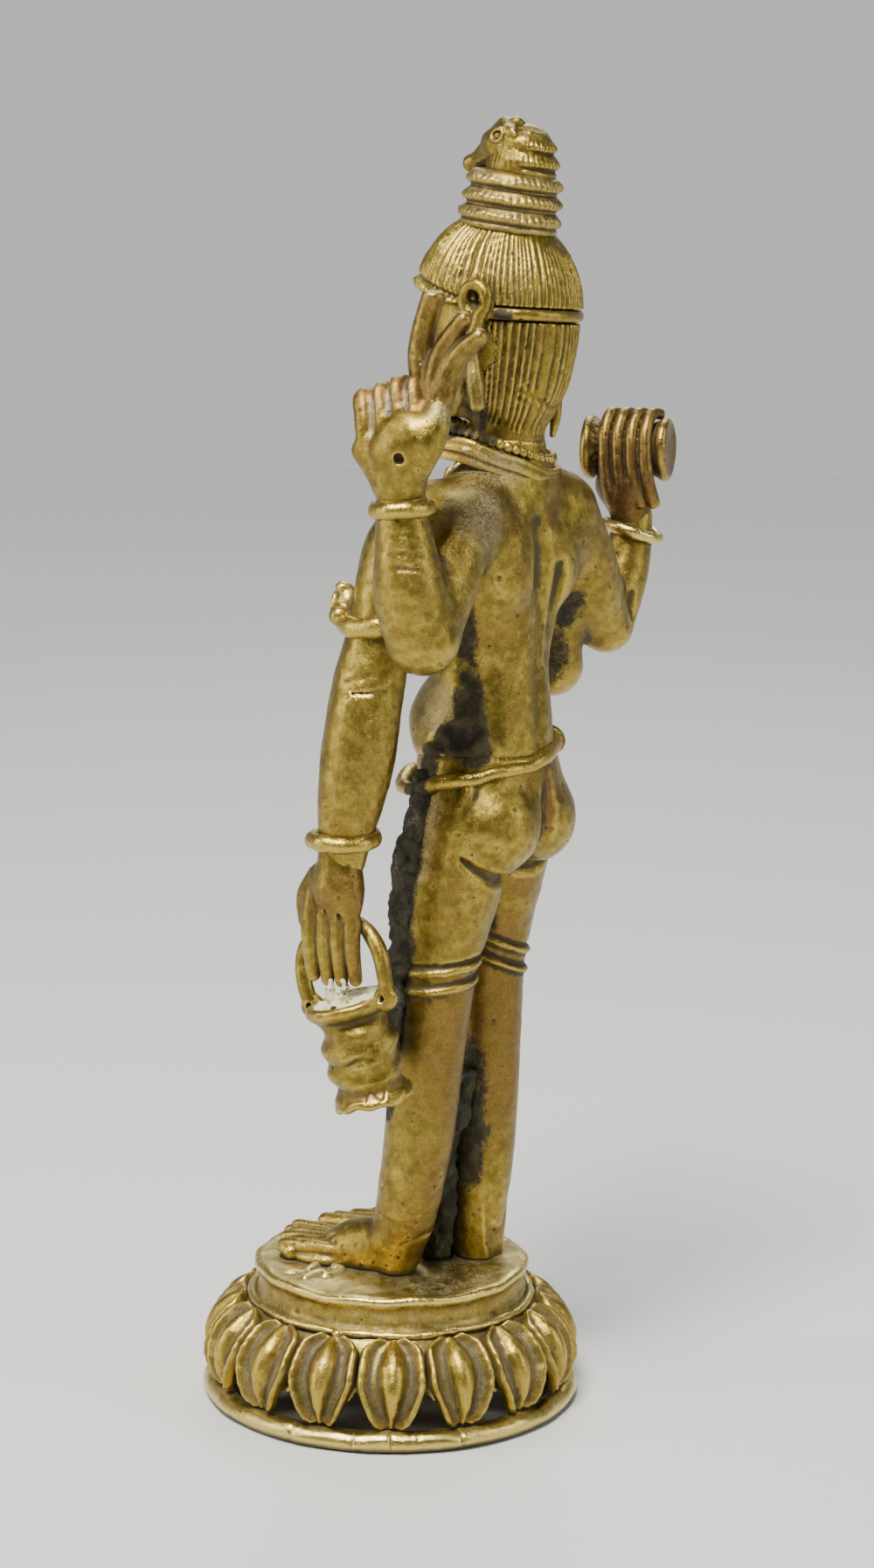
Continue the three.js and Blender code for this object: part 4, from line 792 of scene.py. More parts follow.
def body_lower():
    f = Field((-18, -18, 15.4), (15, 23, 80.6), 0.32)
    f.loft(PELVIS, edge=1.2)
    f.chain([(BX, 11.7, 77, 7.2), (BX, 11.7, 79, 6.6)], 1.0)
    f.blob((2.7, 15.5, 70.8), (5.5, 5.6, 5.6), k=1.2)
    f.blob((-6.0, 15.0, 70.9), (4.9, 5.4, 5.5), k=1.2)
    f.chain(LEFT_LEG, 1.6)
    g = Field((-18, -18, 15.4), (15, 23, 80.6), 0.32)
    g.chain(RIGHT_LEG)
    f.F = smin(f.F, g.F, 0.9)
    f.blob((4.3, 6.0, 50.0), (2.9, 2.2, 2.8), k=1.6)  # knees
    f.blob((-7.1, 5.4, 50.0), (2.8, 2.2, 2.8), k=1.6)
    # cleft and the creases under the buttocks
    f.chain([(-1.9, 20.9, 79.0, 0.5), (-1.9, 20.7, 75.5, 1.05), (-1.9, 20.5, 71.0, 1.35), (-1.8, 19.3, 66.6, 1.25), (-1.6, 16.6, 63.8, 0.9)], 0.8, -1)
    f.chain([(8.2, 14.8, 68.2, 0.12), (7.5, 16.1, 66.8, 0.28), (6.0, 17.2, 65.6, 0.5), (4.0, 17.4, 64.9, 0.7), (1.8, 16.9, 64.8, 0.85), (-0.4, 15.6, 65.3, 0.9)], 0.8, -1)
    f.chain([(-3.0, 15.0, 65.4, 0.8), (-5.0, 16.2, 65.0, 0.9), (-8.0, 16.1, 65.9, 0.6)], 0.6, -1)
    # raised rim of the garment's rear edge down the outside of the left thigh
    f.chain([(7.6, 15.6, 75.5, 0.5), (8.3, 14.2, 70.0, 0.7), (8.2, 13.4, 65.0, 0.6), (7.8, 13.0, 61.5, 0.4)], 0.9)
    # hem bands at the knees: two grooves with a roll between them
    for cx, cy, z, R, t in ((4.4, 9.9, 54.8, 4.62, (4, 6, 0)), (4.5, 9.5, 52.6, 4.6, (4, 6, 0)), (-7.1, 8.9, 56.4, 4.8, (-18, -14, 0)), (-7.1, 8.8, 54.0, 4.7, (-18, -14, 0))):
        f.ring((cx, cy, z - 0.42), R - 0.30, R - 0.30, 0.52, t, 0.5, wide=0.75)
        f.ring((cx, cy, z + 0.32), R + 0.05, R + 0.05, 0.34, t, 0.25, -1)
    # front of the garment: a soft centre pleat hanging between the thighs
    f.chain([(BX, 5.2, 78, 0.9), (BX, 5.4, 72, 1.2), (BX, 5.8, 66, 1.5), (BX, 6.2, 60, 1.5), (BX, 6.0, 55.5, 1.2)], 1.6)
    for dx in (-1.5, 1.5):
        f.chain([(BX + dx * 0.8, 4.6, 76, 0.3), (BX + dx, 4.4, 68, 0.45), (BX + dx * 1.1, 4.6, 60, 0.45), (BX + dx, 4.6, 56, 0.3)], 0.8, -1)
    # crease over the left heel
    f.chain([(7.2, 6.6, 20.6, 0.2), (6.4, 8.2, 21.2, 0.3), (4.6, 8.6, 21.8, 0.3), (2.6, 7.9, 22.2, 0.2)], 0.35, -1)
    X, Y, Z = f.grid()
    f.F = -smin(-f.F, Z - f32(PLATE + 0.02), 0.3)
    V, Q = skin(f)
    t = Field((-15.5, -17, 15.6), (12, 10.5, 27.4), 0.21)
    foot(t, 4.2, 7.6, 1, 0.6)
    t.chain([(4.45, 6.2, 26.0, 3.3), (4.4, 5.3, 23, 3.48), (4.35, 4.4, 19.6, 2.9), (4.5, 4.3, 17.4, 2.2)], 0.9)
    foot(t, -6.9, 8.6, -1, -0.2)
    t.chain([(-7.0, 8.1, 26.0, 3.2), (-7.0, 8.0, 23, 3.38), (-6.9, 7.8, 19.2, 3.2), (-6.9, 7.8, 17.4, 3.0)], 0.9)
    t.chain([(7.2, 6.6, 20.6, 0.2), (6.4, 8.2, 21.2, 0.3), (4.6, 8.6, 21.8, 0.3), (2.6, 7.9, 22.2, 0.2)], 0.35, -1)
    X, Y, Z = t.grid()
    t.F = -smin(-t.F, Z - f32(PLATE + 0.02), 0.2)
    V2, Q2 = skin(t, biggest=False)
    V, Q = np.vstack([V, V2]), np.vstack([Q, Q2 + len(V)])
    build("hips_and_legs", V, Q, nodes=["pelvis", "left_leg", "right_leg"], hammer=0.09, grain=0.04, pits=8)


body_lower()

# ------------------------------------------------------------------ head
SKULL_C, SKULL_R = (BX, 12.0, 127.2), (8.35, 8.1, 9.4)


def head():
    f = Field((-12, 0, 110.5), (9, 22, 137), 0.2)
    f.blob(SKULL_C, SKULL_R)
    f.blob((BX, 9.2, 121.8), (5.6, 5.3, 5.4), k=2.0)
    f.chain([(BX, 13.9, 111.4, 4.4), (BX, 14.0, 115, 4.1), (BX, 13.4, 120, 4.5)], 1.5)
    for s in (-1, 1):
        f.blob((BX + s * 3.5, 6.4, 123.0), (1.9, 1.9, 1.9), k=1.4)  # cheek
        f.blob((BX + s * 2.9, 4.3, 125.7), (1.9, 1.1, 1.0), k=0.7, op=-1)  # socket
        f.blob((BX + s * 2.9, 5.35, 125.6), (1.45, 0.95, 0.72), k=0.15)  # eye
        arc = [(BX + s * (1.35 + 3.1 * t), 4.62 + 1.05 * t * t, 125.65 + 0.72 * math.sin(math.pi * t), 0.16) for t in np.linspace(0, 1, 7)]
        f.chain(arc, 0.12, step=0.3)
        arc = [(BX + s * (1.4 + 3.0 * t), 4.70 + 1.05 * t * t, 125.6 - 0.62 * math.sin(math.pi * t), 0.13) for t in np.linspace(0, 1, 7)]
        f.chain(arc, 0.12, step=0.3)
        arc = [(BX + s * (0.7 + 4.3 * t), 4.15 + 1.9 * t * t, 127.15 + 0.75 * math.sin(math.pi * (0.15 + 0.75 * t)), 0.30) for t in np.linspace(0, 1, 7)]
        f.chain(arc, 0.45, step=0.4)
        f.blob((BX + s * 0.85, 3.75, 122.65), (0.55, 0.75, 0.5), k=0.35)  # wing of the nose
    f.chain([(BX, 4.5, 127.3, 0.55), (BX, 3.9, 125.2, 0.6), (BX, 3.15, 123.1, 0.82)], 0.7, step=0.4)
    f.blob((BX, 3.2, 122.8), (0.75, 0.8, 0.65), k=0.4)
    f.blob((BX, 4.2, 120.7), (1.75, 0.85, 0.42), k=0.4)
    f.blob((BX, 4.35, 119.9), (1.4, 0.85, 0.5), k=0.35)
    f.chain([(BX - 1.8, 4.1, 120.35, 0.12), (BX, 3.2, 120.3, 0.16), (BX + 1.8, 4.1, 120.35, 0.12)], 0.15, -1, step=0.3)
    f.blob((BX, 5.3, 117.6), (1.9, 1.7, 1.4), k=1.2)
    f.blob((BX, 4.0, 129.6), (0.55, 0.45, 0.55), k=0.2)  # brow mark
    V, Q = skin(f)
    build("head_and_neck", V, Q, hammer=0.03, grain=0.02, pits=1)


head()


def over_face(Y, Z):
    """Above 0 where hair grows: over the sloping hairline, or behind the ears."""
    return np.maximum(0.3146 * (Y - 4.12) + 0.949 * (Z - 131.64), 0.949 * (Y - 11.74) - 0.3146 * (Z - 113.3))


def ridges(a, n, sharp=1.0):
    """Rolls with narrow grooves between them: 0 on a roll's crest, 1 in the groove."""
    return (1 - np.abs(np.sin(a * n * 0.5))) ** sharp


def hair_cap():
    f = Field((-12, 1, 125), (9, 23.5, 140.5), 0.165)
    f.blob((BX, 12.2, 128.6), (9.3, 9.9, 11.3))
    X, Y, Z = f.grid()
    a = np.arctan2(X - f32(BX), Y - f32(14.4) + 0 * Z)
    P = np.stack(np.broadcast_arrays(X, Y, Z), -1)
    wob = 0.035 * np.sin(5 * a + 1) + 0.022 * np.sin(13 * a + 2) + 0.03 * noise(P, 0.12, 2)
    depth = 0.36 + 0.16 * noise(P, 0.3, 5)
    rr = np.hypot(X - f32(BX), Y - f32(14.4))
    fade = np.clip((rr - 4.6) / 2.0, 0.25, 1)
    f.F += (depth * fade * ridges(a + wob, 72, 1.3)).astype(f32)
    f.F += (0.14 * noise(P, 0.8, 9)).astype(f32) * 0.5
    # edge over the temples and the groove behind it
    e = over_face(Y, Z) + 0 * X
    f.F = -smin(-f.F, e.astype(f32), 0.35)
    f.F += (0.55 * np.exp(-(((e - 1.15) / 0.30) ** 2))).astype(f32)
    f.F -= (0.22 * np.exp(-(((e - 0.45) / 0.35) ** 2))).astype(f32)
    f.half((BX, 13.6, 129.25), (0, -0.06, -1), 0.3)
    s = Field((-12, 1, 125), (9, 23.5, 140.5), 0.165)
    s.blob(SKULL_C, np.array(SKULL_R) + 0.02)
    f.F = -smin(-f.F, s.F, 0)
    V, Q = skin(f)
    build("hair_cap", V, Q, hammer=0.04, grain=0.035, pits=5, reach=0.8, worn=0.12)


hair_cap()


def hair_band():
    f = Field((-12, 8, 125), (9, 23.5, 131), 0.18)
    f.loft([(126.3, BX, 12.3, 8.7, 9.7), (127.1, BX, 12.3, 8.95, 9.85), (128.5, BX, 12.3, 9.15, 9.92), (130.6, BX, 12.3, 9.05, 9.8)], edge=0.2)
    X, Y, Z = f.grid()
    mid = Z - f32(128.45) + f32(0.06) * (Y - f32(13.6))
    f.F += (0.28 * np.clip((np.abs(mid + 0 * X) / 0.62) ** 2.5, 0, 2.5)).astype(f32)
    s = Field((-12, 8, 125), (9, 23.5, 131), 0.18)
    s.blob(SKULL_C, np.array(SKULL_R) + 0.02)
    f.F = -smin(-f.F, s.F, 0)
    f.half((0, 13.9, 0), (0, -1, 0), 0.4)
    f.half((BX, 13.6, 129.12), (0, 0.06, 1), 0.2)
    f.half((BX, 13.6, 127.78), (0, -0.06, -1), 0.2)
    V, Q = skin(f)
    build("hair_band", V, Q, kind="aged", hammer=0.05, grain=0.03, pits=2)


hair_band()
NAPE = [(113.3, BX, 15.5, 2.5, 2.3), (114.6, BX, 15.2, 3.3, 2.9), (115.8, BX, 14.9, 3.9, 3.5), (117.2, BX, 14.2, 5.0, 5.1), (119.5, BX, 13.4, 6.0, 7.2), (123.0, BX, 12.8, 6.9, 8.9), (128.2, BX, 12.3, 8.6, 9.85)]


def nape_hair():
    f = Field((-12, 8, 112.2), (9, 23.5, 129), 0.17)
    f.loft(NAPE, edge=0.5)
    X, Y, Z = f.grid()
    P = np.stack(np.broadcast_arrays(X, Y, Z), -1)
    a = np.arctan2(X - f32(BX), Y - f32(10.0) + 0 * Z)
    a = a + 0.03 * np.sin(6 * a + 2) + 0.018 * np.sin(15 * a) + 0.02 * noise(P, 0.15, 8)
    depth = 0.34 + 0.16 * noise(P, 0.6, 6)
    f.F += (depth * ridges(a, 74, 1.2)).astype(f32)
    # two pointed lines across the lower end, and the lock left hanging on the right
    for z0, r in ((117.8, 0.22), (116.8, 0.17)):
        pts = []
        for t in np.linspace(-1, 1, 13):
            z = z0 + 2.0 * abs(t + 0.1) ** 1.15
            ang = t * 0.85
            i = np.interp(z, [q[0] for q in NAPE], range(len(NAPE)))
            cy, rx, ry = (np.interp(i, range(len(NAPE)), [q[k] for q in NAPE]) for k in (2, 3, 4))
            pts.append((BX + (rx + 0.05) * math.sin(ang), cy + (ry + 0.05) * math.cos(ang), z, r))
        f.chain(pts, 0.2, -1, step=0.4)
    f.chain([(-7.4, 15.8, 122.6, 0.5), (-7.6, 16.2, 119.5, 0.75), (-7.2, 16.5, 116.6, 0.6), (-6.9, 16.4, 114.8, 0.35)], 0.5)
    f.half((BX, 13.6, 127.66), (0, 0.06, 1), 0.25)
    f.half((0, 13.0, 0), (0, -1, 0), 0.5)
    s = Field((-12, 8, 112.2), (9, 23.5, 129), 0.17)
    s.blob(SKULL_C, np.array(SKULL_R) + 0.02)
    s.chain([(BX, 13.9, 111.4, 4.2), (BX, 14.0, 115, 3.9), (BX, 13.4, 120, 4.3)], 0.5)
    f.F = -smin(-f.F, s.F, 0)
    V, Q = skin(f)
    build("nape_hair", V, Q, hammer=0.05, grain=0.045, pits=6, brown=0.15, reach=0.9)


nape_hair()

# ------------------------------------------------------------------ topknot
KNOT = dict(turn=(-9, 0, 0), pivot=(BX, 14.6, 141))


def band(name, z, r, h, seed, notch):
    prof = [(0, z), (r - 0.6, z), (r - 0.1, z + h - 1.35), (r + 0.05, z + h - 1.0), (r - 0.35, z + h - 0.65), (r - 0.75, z + h - 0.2), (r - 1.3, z + h), (0, z + h)]
    V, Q, T = lathe(prof, 260, 0.17)
    th = np.arctan2(V[:, 1], V[:, 0])
    R = np.hypot(V[:, 0], V[:, 1])
    back = 0.35 + 0.65 * np.clip(np.cos(th - 1.9), 0, 1)
    teeth = np.abs(np.sin(th * notch * 0.5 + 0.5 * np.sin(th * 3 + seed))) ** 0.6
    lip = np.exp(-(((V[:, 2] - (z + h - 0.95)) / 0.42) ** 2))
    push = -(0.46 * back * (1 - teeth)) * lip + 0.10 * np.sin(th * 2 + seed) * (R > 1)
    groove = -0.32 * np.exp(-(((V[:, 2] - (z + h - 1.75)) / 0.18) ** 2)) if h > 2 else 0.0
    push = push + groove
    V[:, :2] *= ((R + push * (R > r * 0.6)) / np.maximum(R, 1e-6))[:, None]
    V[:, 2] += (0.16 * np.sin(th * 5 + seed) + 0.10 * np.sin(th * 11 + 2 * seed)) * lip
    V = place(V + np.array([BX + 0.25, 14.25, 0]), **KNOT)
    build(name, V, Q, T, kind="aged", hammer=0.07, grain=0.06, pits=3, brown=0.15, grey=0.35)


band("topknot_band_lower", 137.3, 6.0, 2.6, 0.4, 46)
band("topknot_band_middle", 139.75, 5.75, 2.05, 1.7, 42)
band("topknot_band_upper", 141.65, 5.45, 2.05, 2.9, 40)


def dome():
    prof = [(0, 143.4), (3.85, 143.4), (4.05, 144.3), (3.95, 145.0), (3.7, 145.7), (3.45, 146.5), (3.05, 147.3), (2.45, 148.2), (1.55, 148.85), (0.65, 149.1), (0, 149.12)]
    V, Q, T = lathe(prof, 260, 0.15)
    th = np.arctan2(V[:, 1], V[:, 0])
    R = np.hypot(V[:, 0], V[:, 1])
    z = V[:, 2]
    back = np.clip(np.cos(th - 2.0) * 1.6 + 0.25, 0, 1)
    push = np.zeros(len(V))
    for zc, n in ((145.1, 40), (146.9, 34)):  # overlapping notched rows on the back
        teeth = np.abs(np.sin(th * n * 0.5)) ** 0.6
        push += back * (0.30 * np.exp(-(((z - zc) / 0.45) ** 2)) * (0.35 + 0.65 * teeth) - 0.34 * np.exp(-(((z - zc + 0.75) / 0.22) ** 2)))
    push -= (1 - back) * 0.05 * ridges(th, 40, 0.8) * (z > 144) * (R > 1.2)
    V[:, :2] *= ((R + push * (R > 0.8)) / np.maximum(R, 1e-6))[:, None]
    V = place(V + np.array([BX - 0.1, 14.7, 0]), **KNOT)
    build("topknot_dome", V, Q, T, hammer=0.06, grain=0.05, pits=3)


dome()


def crest():
    """A small animal's head looking forward: long snout, ringed eyes, laid-back ears and a knob on the brow."""
    f = Field((-6, 5.9, 142.0), (3, 17.8, 150.7), 0.13)
    f.chain([(BX, 13.6, 146.2, 2.4), (BX, 12.0, 146.8, 2.6), (BX, 10.2, 146.1, 1.75), (BX, 8.8, 145.3, 1.15), (BX, 7.6, 144.8, 0.95)], 0)
    f.blob((BX, 7.4, 144.9), (1.15, 0.8, 0.85), k=0.3)
    f.chain([(BX, 13.4, 144.9, 1.2), (BX, 11.4, 144.3, 0.85), (BX, 9.9, 144.1, 0.6)], 0.35)
    f.chain([(BX, 12.0, 148.7, 1.3), (BX, 12.7, 149.0, 0.9)], 0.7)
    f.chain([(BX - 0.2, 11.4, 148.0, 0.5), (BX, 11.0, 147.7, 0.4)], 0.4)
    for s in (-1, 1):
        f.ring((BX + s * 2.45, 12.0, 147.7), 0.68, 0.68, 0.26, (0, 90 - s * 15, 0), 0.1)
        f.blob((BX + s * 2.5, 12.0, 147.7), (0.34, 0.36, 0.36), k=0.05)
        f.chain([(BX + s * 0.95, 7.9, 144.35, 0.16), (BX + s * 1.15, 9.0, 144.55, 0.24), (BX + s * 1.6, 10.4, 144.9, 0.32), (BX + s * 2.1, 11.6, 145.2, 0.34)], 0.12, -1, step=0.25)
        f.chain([(BX + s * 1.5, 12.9, 148.2, 0.6), (BX + s * 1.9, 13.5, 148.2, 0.5), (BX + s * 2.1, 14.1, 147.8, 0.35)], 0.35)
        f.blob((BX + s * 0.55, 8.0, 145.7), (0.18, 0.3, 0.16), op=-1, k=0.1)
        f.chain([(BX + s * 1.7, 11.6, 146.4, 0.12), (BX + s * 2.0, 12.2, 146.2, 0.14)], 0.1, -1, step=0.25)
    X, Y, Z = f.grid()
    P = np.stack(np.broadcast_arrays(X, Y, Z), -1)
    f.F += (0.10 * noise(P, 1.1, 3)).astype(f32)
    V, Q = skin(f)
    w = np.clip((V[:, 1] - 8.0) / 4.0, 0, 1)
    V = V + np.stack([0.5 + 0.5 * w, 1.3 + 1.0 * w, -0.15 * w], 1)
    build("crest_animal_head", V, Q, hammer=0.03, grain=0.05, pits=3)


crest()

# ------------------------------------------------------------------ ears and earrings


def ear(name, s, y):
    """A large plain ear: a thick scroll round a deep hollow, running down into a stretched lobe."""
    x = BX + s * 8.4
    f = Field((x - 3.2, y - 3.8, 123.2), (x + 3.2, y + 3.8, 133.4), 0.13)
    f.blob((x - s * 0.4, y, 129.4), (0.75, 1.8, 2.3))
    rim = []
    for t in np.linspace(-0.9, 4.6, 18):
        rim.append((x + s * (0.6 + 0.15 * math.sin(t)), y - 1.5 * math.cos(t), 129.6 + 1.65 * math.sin(t), 0.74 if t < 3 else 0.60))
    f.chain(rim, 0.25, step=0.3)
    f.chain([(x + s * 0.45, y + 0.7, 128.6, 0.6), (x + s * 0.6, y + 0.3, 127.2, 0.8), (x + s * 0.85, y, 125.8, 0.8), (x + s * 0.95, y - 0.1, 124.6, 0.55)], 0.4, step=0.3)
    f.blob((x + s * 0.8, y - 0.1, 129.8), (1.0, 0.72, 0.95), k=0.2, op=-1)
    V, Q = skin(f)
    build(name, V, Q, hammer=0.03, grain=0.05, pits=2, dark=0.05)


ear("left_ear", 1, 15.6)
ear("right_ear", -1, 12.6)


def earring(name, s, y):
    x = BX + s * 9.55
    f = Field((x - 2.2, y - 5.2, 116.2), (x + 2.2, y + 3.4, 126.6), 0.14)
    f.chain([(x, y, 125.4, 0.5), (x + s * 0.1, y + 0.3, 122.6, 0.78), (x + s * 0.1, y + 0.6, 120.6, 1.0), (x, y + 0.9, 118.4, 0.85)], 0)
    f.chain([(x, y - 0.4, 125.0, 0.5), (x + s * 0.2, y - 1.0, 122.4, 0.75), (x + s * 0.1, y - 1.9, 119.8, 1.05), (x - s * 0.1, y - 2.7, 117.7, 0.8)], 0.25)
    f.chain([(x + s * 0.95, y - 1.0, 122.0, 0.14), (x + s * 1.15, y - 1.8, 119.9, 0.22), (x + s * 0.75, y - 2.5, 118.2, 0.14)], 0.15, -1, step=0.3)
    f.ring((x, y - 0.1, 125.4), 0.7, 0.7, 0.34, (0, 90, 0), 0.2)
    V, Q = skin(f)
    build(name, V, Q, hammer=0.04, grain=0.05, pits=2, grey=0.25)


earring("left_earring", 1, 15.6)
earring("right_earring", -1, 12.6)

# ------------------------------------------------------------------ necklace, girdle, rings


def flat(pw):
    return lambda th, ph: 1.0 / (np.abs(np.cos(ph)) ** pw + np.abs(np.sin(ph)) ** pw) ** (1 / pw)


V, Q = hoop((BX, 12.0, 112.3), 8.2, 6.9, 0.70, (-16, -9, 0), 320, 26, wide=1.75,
            rad=lambda t, p: (1 + 0.06 * np.sin(5 * t + 1)) * flat(4)(t, p) * (1 + 0.22 * np.exp(-(((p - 5.1) / 0.30) ** 2)) - 0.34 * np.exp(-(((p - 5.75) / 0.20) ** 2)) - 0.16 * np.exp(-(((p - 0.5) / 0.25) ** 2))),
            lift=lambda t: 0.18 * np.sin(3 * t) + 0.10 * np.sin(7 * t))
build("necklace_ribbon", V, Q, kind="aged", hammer=0.07, grain=0.05, pits=3)
V, Q = hoop((BX, 12.3, 114.2), 7.6, 6.3, 0.60, (-16, -9, 0), 440, 12, rad=lambda t, p: 0.62 + 0.48 * np.abs(np.sin(t * 23 + 0.3 * np.sin(4 * t))), lift=lambda t: 0.14 * np.sin(3 * t))
build("necklace_beads", V, Q, kind="aged", hammer=0.05, grain=0.05, pits=0, reach=1.0)

f = Field((-5, 3.4, 103.6), (2, 8.4, 110.6), 0.12)
f.blob((BX, 5.9, 107.2), (1.9, 0.95, 2.1), (-12, 0, 0))
f.ring((BX, 5.35, 107.2), 1.3, 1.5, 0.24, (78, 0, 0), 0.15)
f.blob((BX, 5.2, 107.2), (0.75, 0.6, 0.85), (-12, 0, 0), 0.15)
f.blob((BX, 5.8, 104.9), (0.5, 0.5, 0.6), k=0.3)
f.chain([(BX, 6.4, 109.2, 0.5), (BX, 6.4, 110.2, 0.45)], 0.3)
cast("chest_pendant", f, kind="worn", hammer=0.03, grain=0.03)

V, Q = hoop((BX + 0.2, 10.7, 77.0), 9.75, 8.5, 0.88, (10, 9, 0), 360, 16,
            rad=lambda t, p: 1 + 0.12 * np.sin(4 * t) + 0.07 * np.sin(11 * t + 2) + 0.10 * np.exp(-(((t - 2.35) / 0.12) ** 2)) + 0.05 * np.sin(17 * t) * np.sin(p),
            lift=lambda t: 0.28 * np.sin(3 * t + 0.5) + 0.14 * np.sin(8 * t) + 0.55 * np.exp(-(((t - 2.30) / 0.22) ** 2)))
f = Field((-13, 14, 74), (-3, 23, 82), 0.15)
f.chain([(-7.4, 17.2, 78.9, 0.72), (-8.2, 17.2, 79.3, 0.8), (-8.6, 16.7, 80.3, 0.7), (-8.2, 16.0, 81.0, 0.5)], 0.3)
V2, Q2 = skin(f)
V3, Q3 = np.vstack([V, V2]), np.vstack([Q, Q2 + len(V)])
build("girdle_wire", V3, Q3, kind="aged", hammer=0.06, grain=0.03, pits=2)


def bangle(name, c, R, r, turn, seed, kind="aged"):
    V, Q = hoop(c, R, R, r, turn, 180, 18, wide=1.06,
                rad=lambda t, p: 1 + 0.06 * np.sin(2 * t + seed) + 0.04 * np.sin(9 * t + seed) - 0.10 * np.exp(-(((p - 3.14) / 0.7) ** 2)),
                lift=lambda t: 0.12 * np.sin(2 * t + seed))
    build(name, V, Q, kind=kind, hammer=0.05, grain=0.025, pits=1)


bangle("left_rear_bangle", (21.6, 16.5, 107.6), 2.85, 0.86, (0, 6, 0), 0.3)
bangle("right_rear_bangle", (-26.0, 15.2, 103.1), 3.3, 0.68, (-14, -6, 0), 1.2, "worn")
bangle("left_front_bangle", (19.5, 7.4, 70.7), 3.4, 0.88, (0, 4, 0), 2.2)
bangle("right_front_bangle", (-14.55, -0.1, 95.2), 3.1, 0.65, (42, 0, 0), 3.1)
bangle("left_front_armlet", (15.4, 9.4, 95.6), 4.15, 1.2, (4, 20, 0), 4.4)
f = Field((12, 1.6, 91.5), (21.2, 9.5, 101), 0.14)
f.blob((16.4, 5.4, 96.0), (1.7, 1.6, 2.4), (0, 0, 20))
f.chain([(15.4, 5.4, 94.6, 1.2), (16.8, 5.0, 95.0, 1.3), (18.4, 5.6, 95.2, 1.1)], 0.5)
f.ring((16.6, 4.2, 96.4), 1.0, 1.3, 0.34, (90, 0, 20), 0.2)
f.blob((16.5, 4.0, 96.4), (0.55, 0.6, 0.75), (0, 0, 20), 0.1)
f.blob((16.8, 5.0, 98.2), (0.9, 0.9, 0.7), k=0.4)
cast("left_front_armlet_jewel", f, kind="worn", hammer=0.05, grain=0.05)

# ------------------------------------------------------------------ hands


def vec(*a):
    return np.array(a, float)


def left_rear_hand():
    """Loosely closed, seen from its back: four folded fingers side by side, thumb behind the prongs."""
    f = Field((14.5, 8.5, 108), (28.5, 25, 124), 0.17)
    f.chain([(21.8, 16.5, 108.6, 2.5), (22.1, 16.5, 111.2, 2.85), (22.3, 16.6, 113.6, 3.3)], 0)
    f.blob((22.4, 16.7, 114.6), (2.5, 4.8, 3.9), (0, 0, -18), 1.2)
    f.blob((20.8, 17.2, 115.6), (2.3, 4.0, 3.0), (0, 0, -18), 1.2)
    base, across, up, fwd = vec(22.4, 15.5, 115.6), vec(-0.55, 1.80, 0.42), vec(-0.5, -0.7, 4.6), vec(-3.0, 0.6, 0.4)
    out = vec(0.80, 0.60, 0.0)
    for i in range(4):
        p = base + across * (i - 1.5)
        top = p + up * (1.0 - 0.06 * abs(i - 2.0))
        f.chain([(22.3, 16.5 + (i - 1.5) * 0.7, 110.8, 2.1), (*(p - up * 0.30 + out * 0.4), 1.5)], 1.0)
        pts = [(*(p - up * 0.45 + out * 0.8), 0.6), (*(p - up * 0.2 + out * 1.0), 0.9), (*(p + up * 0.1 + out * 1.05), 1.0), (*(p + up * 0.55 + out * 0.9), 1.06),
               (*(top + out * 0.2), 1.08), (*(top + fwd * 0.45), 1.0), (*(p + up * 0.75 + fwd * 0.95), 0.95), (*(p + up * 0.2 + fwd * 1.0), 0.9)]
        f.chain(pts, 0.45, step=0.5)
    for i in range(3):
        p = base + across * (i - 1.0)
        f.chain([(*(p - up * 0.50 + out * 1.9), 0.12), (*(p - up * 0.15 + out * 2.05), 0.20), (*(p + up * 0.2 + out * 2.1), 0.26), (*(p + up * 0.6 + out * 1.95), 0.32), (*(p + up * 1.05 + out * 1.1), 0.34), (*(p + up * 1.2 + fwd * 0.25), 0.30)], 0.30, -1, step=0.5)
    # thumb along the right side, closing on the prongs
    f.chain([(22.6, 19.6, 112.4, 1.4), (22.3, 20.7, 114.8, 1.6), (21.7, 21.0, 117.0, 1.5), (20.8, 20.6, 118.8, 1.2)], 1.2, step=0.5)
    f.blob((24.9, 18.6, 113.0), (0.55, 0.55, 0.65), k=0.2, op=-1)
    V, Q = skin(f)

    def film(V, b, d, g, c):
        th = 0.75 * near(V, (21.8, 21.8, 117.8), (2.4, 2.4, 1.8), 0.6)
        g2 = np.maximum(g, th)
        for i in range(3):
            p = base + across * (i - 1.0) + out * 1.7
            g2 = np.maximum(g2, 0.75 * along(V, [p - up * 0.6, p + up * 0.8], 0.75, 0.5))
        return np.clip(b + 0.45 * np.clip((V[:, 2] - 116.5) / 3, 0, 1), 0, 1), d, g2, c

    build("left_rear_hand", V, Q, kind="aged", hammer=0.04, grain=0.03, pits=2, masks=film)


left_rear_hand()


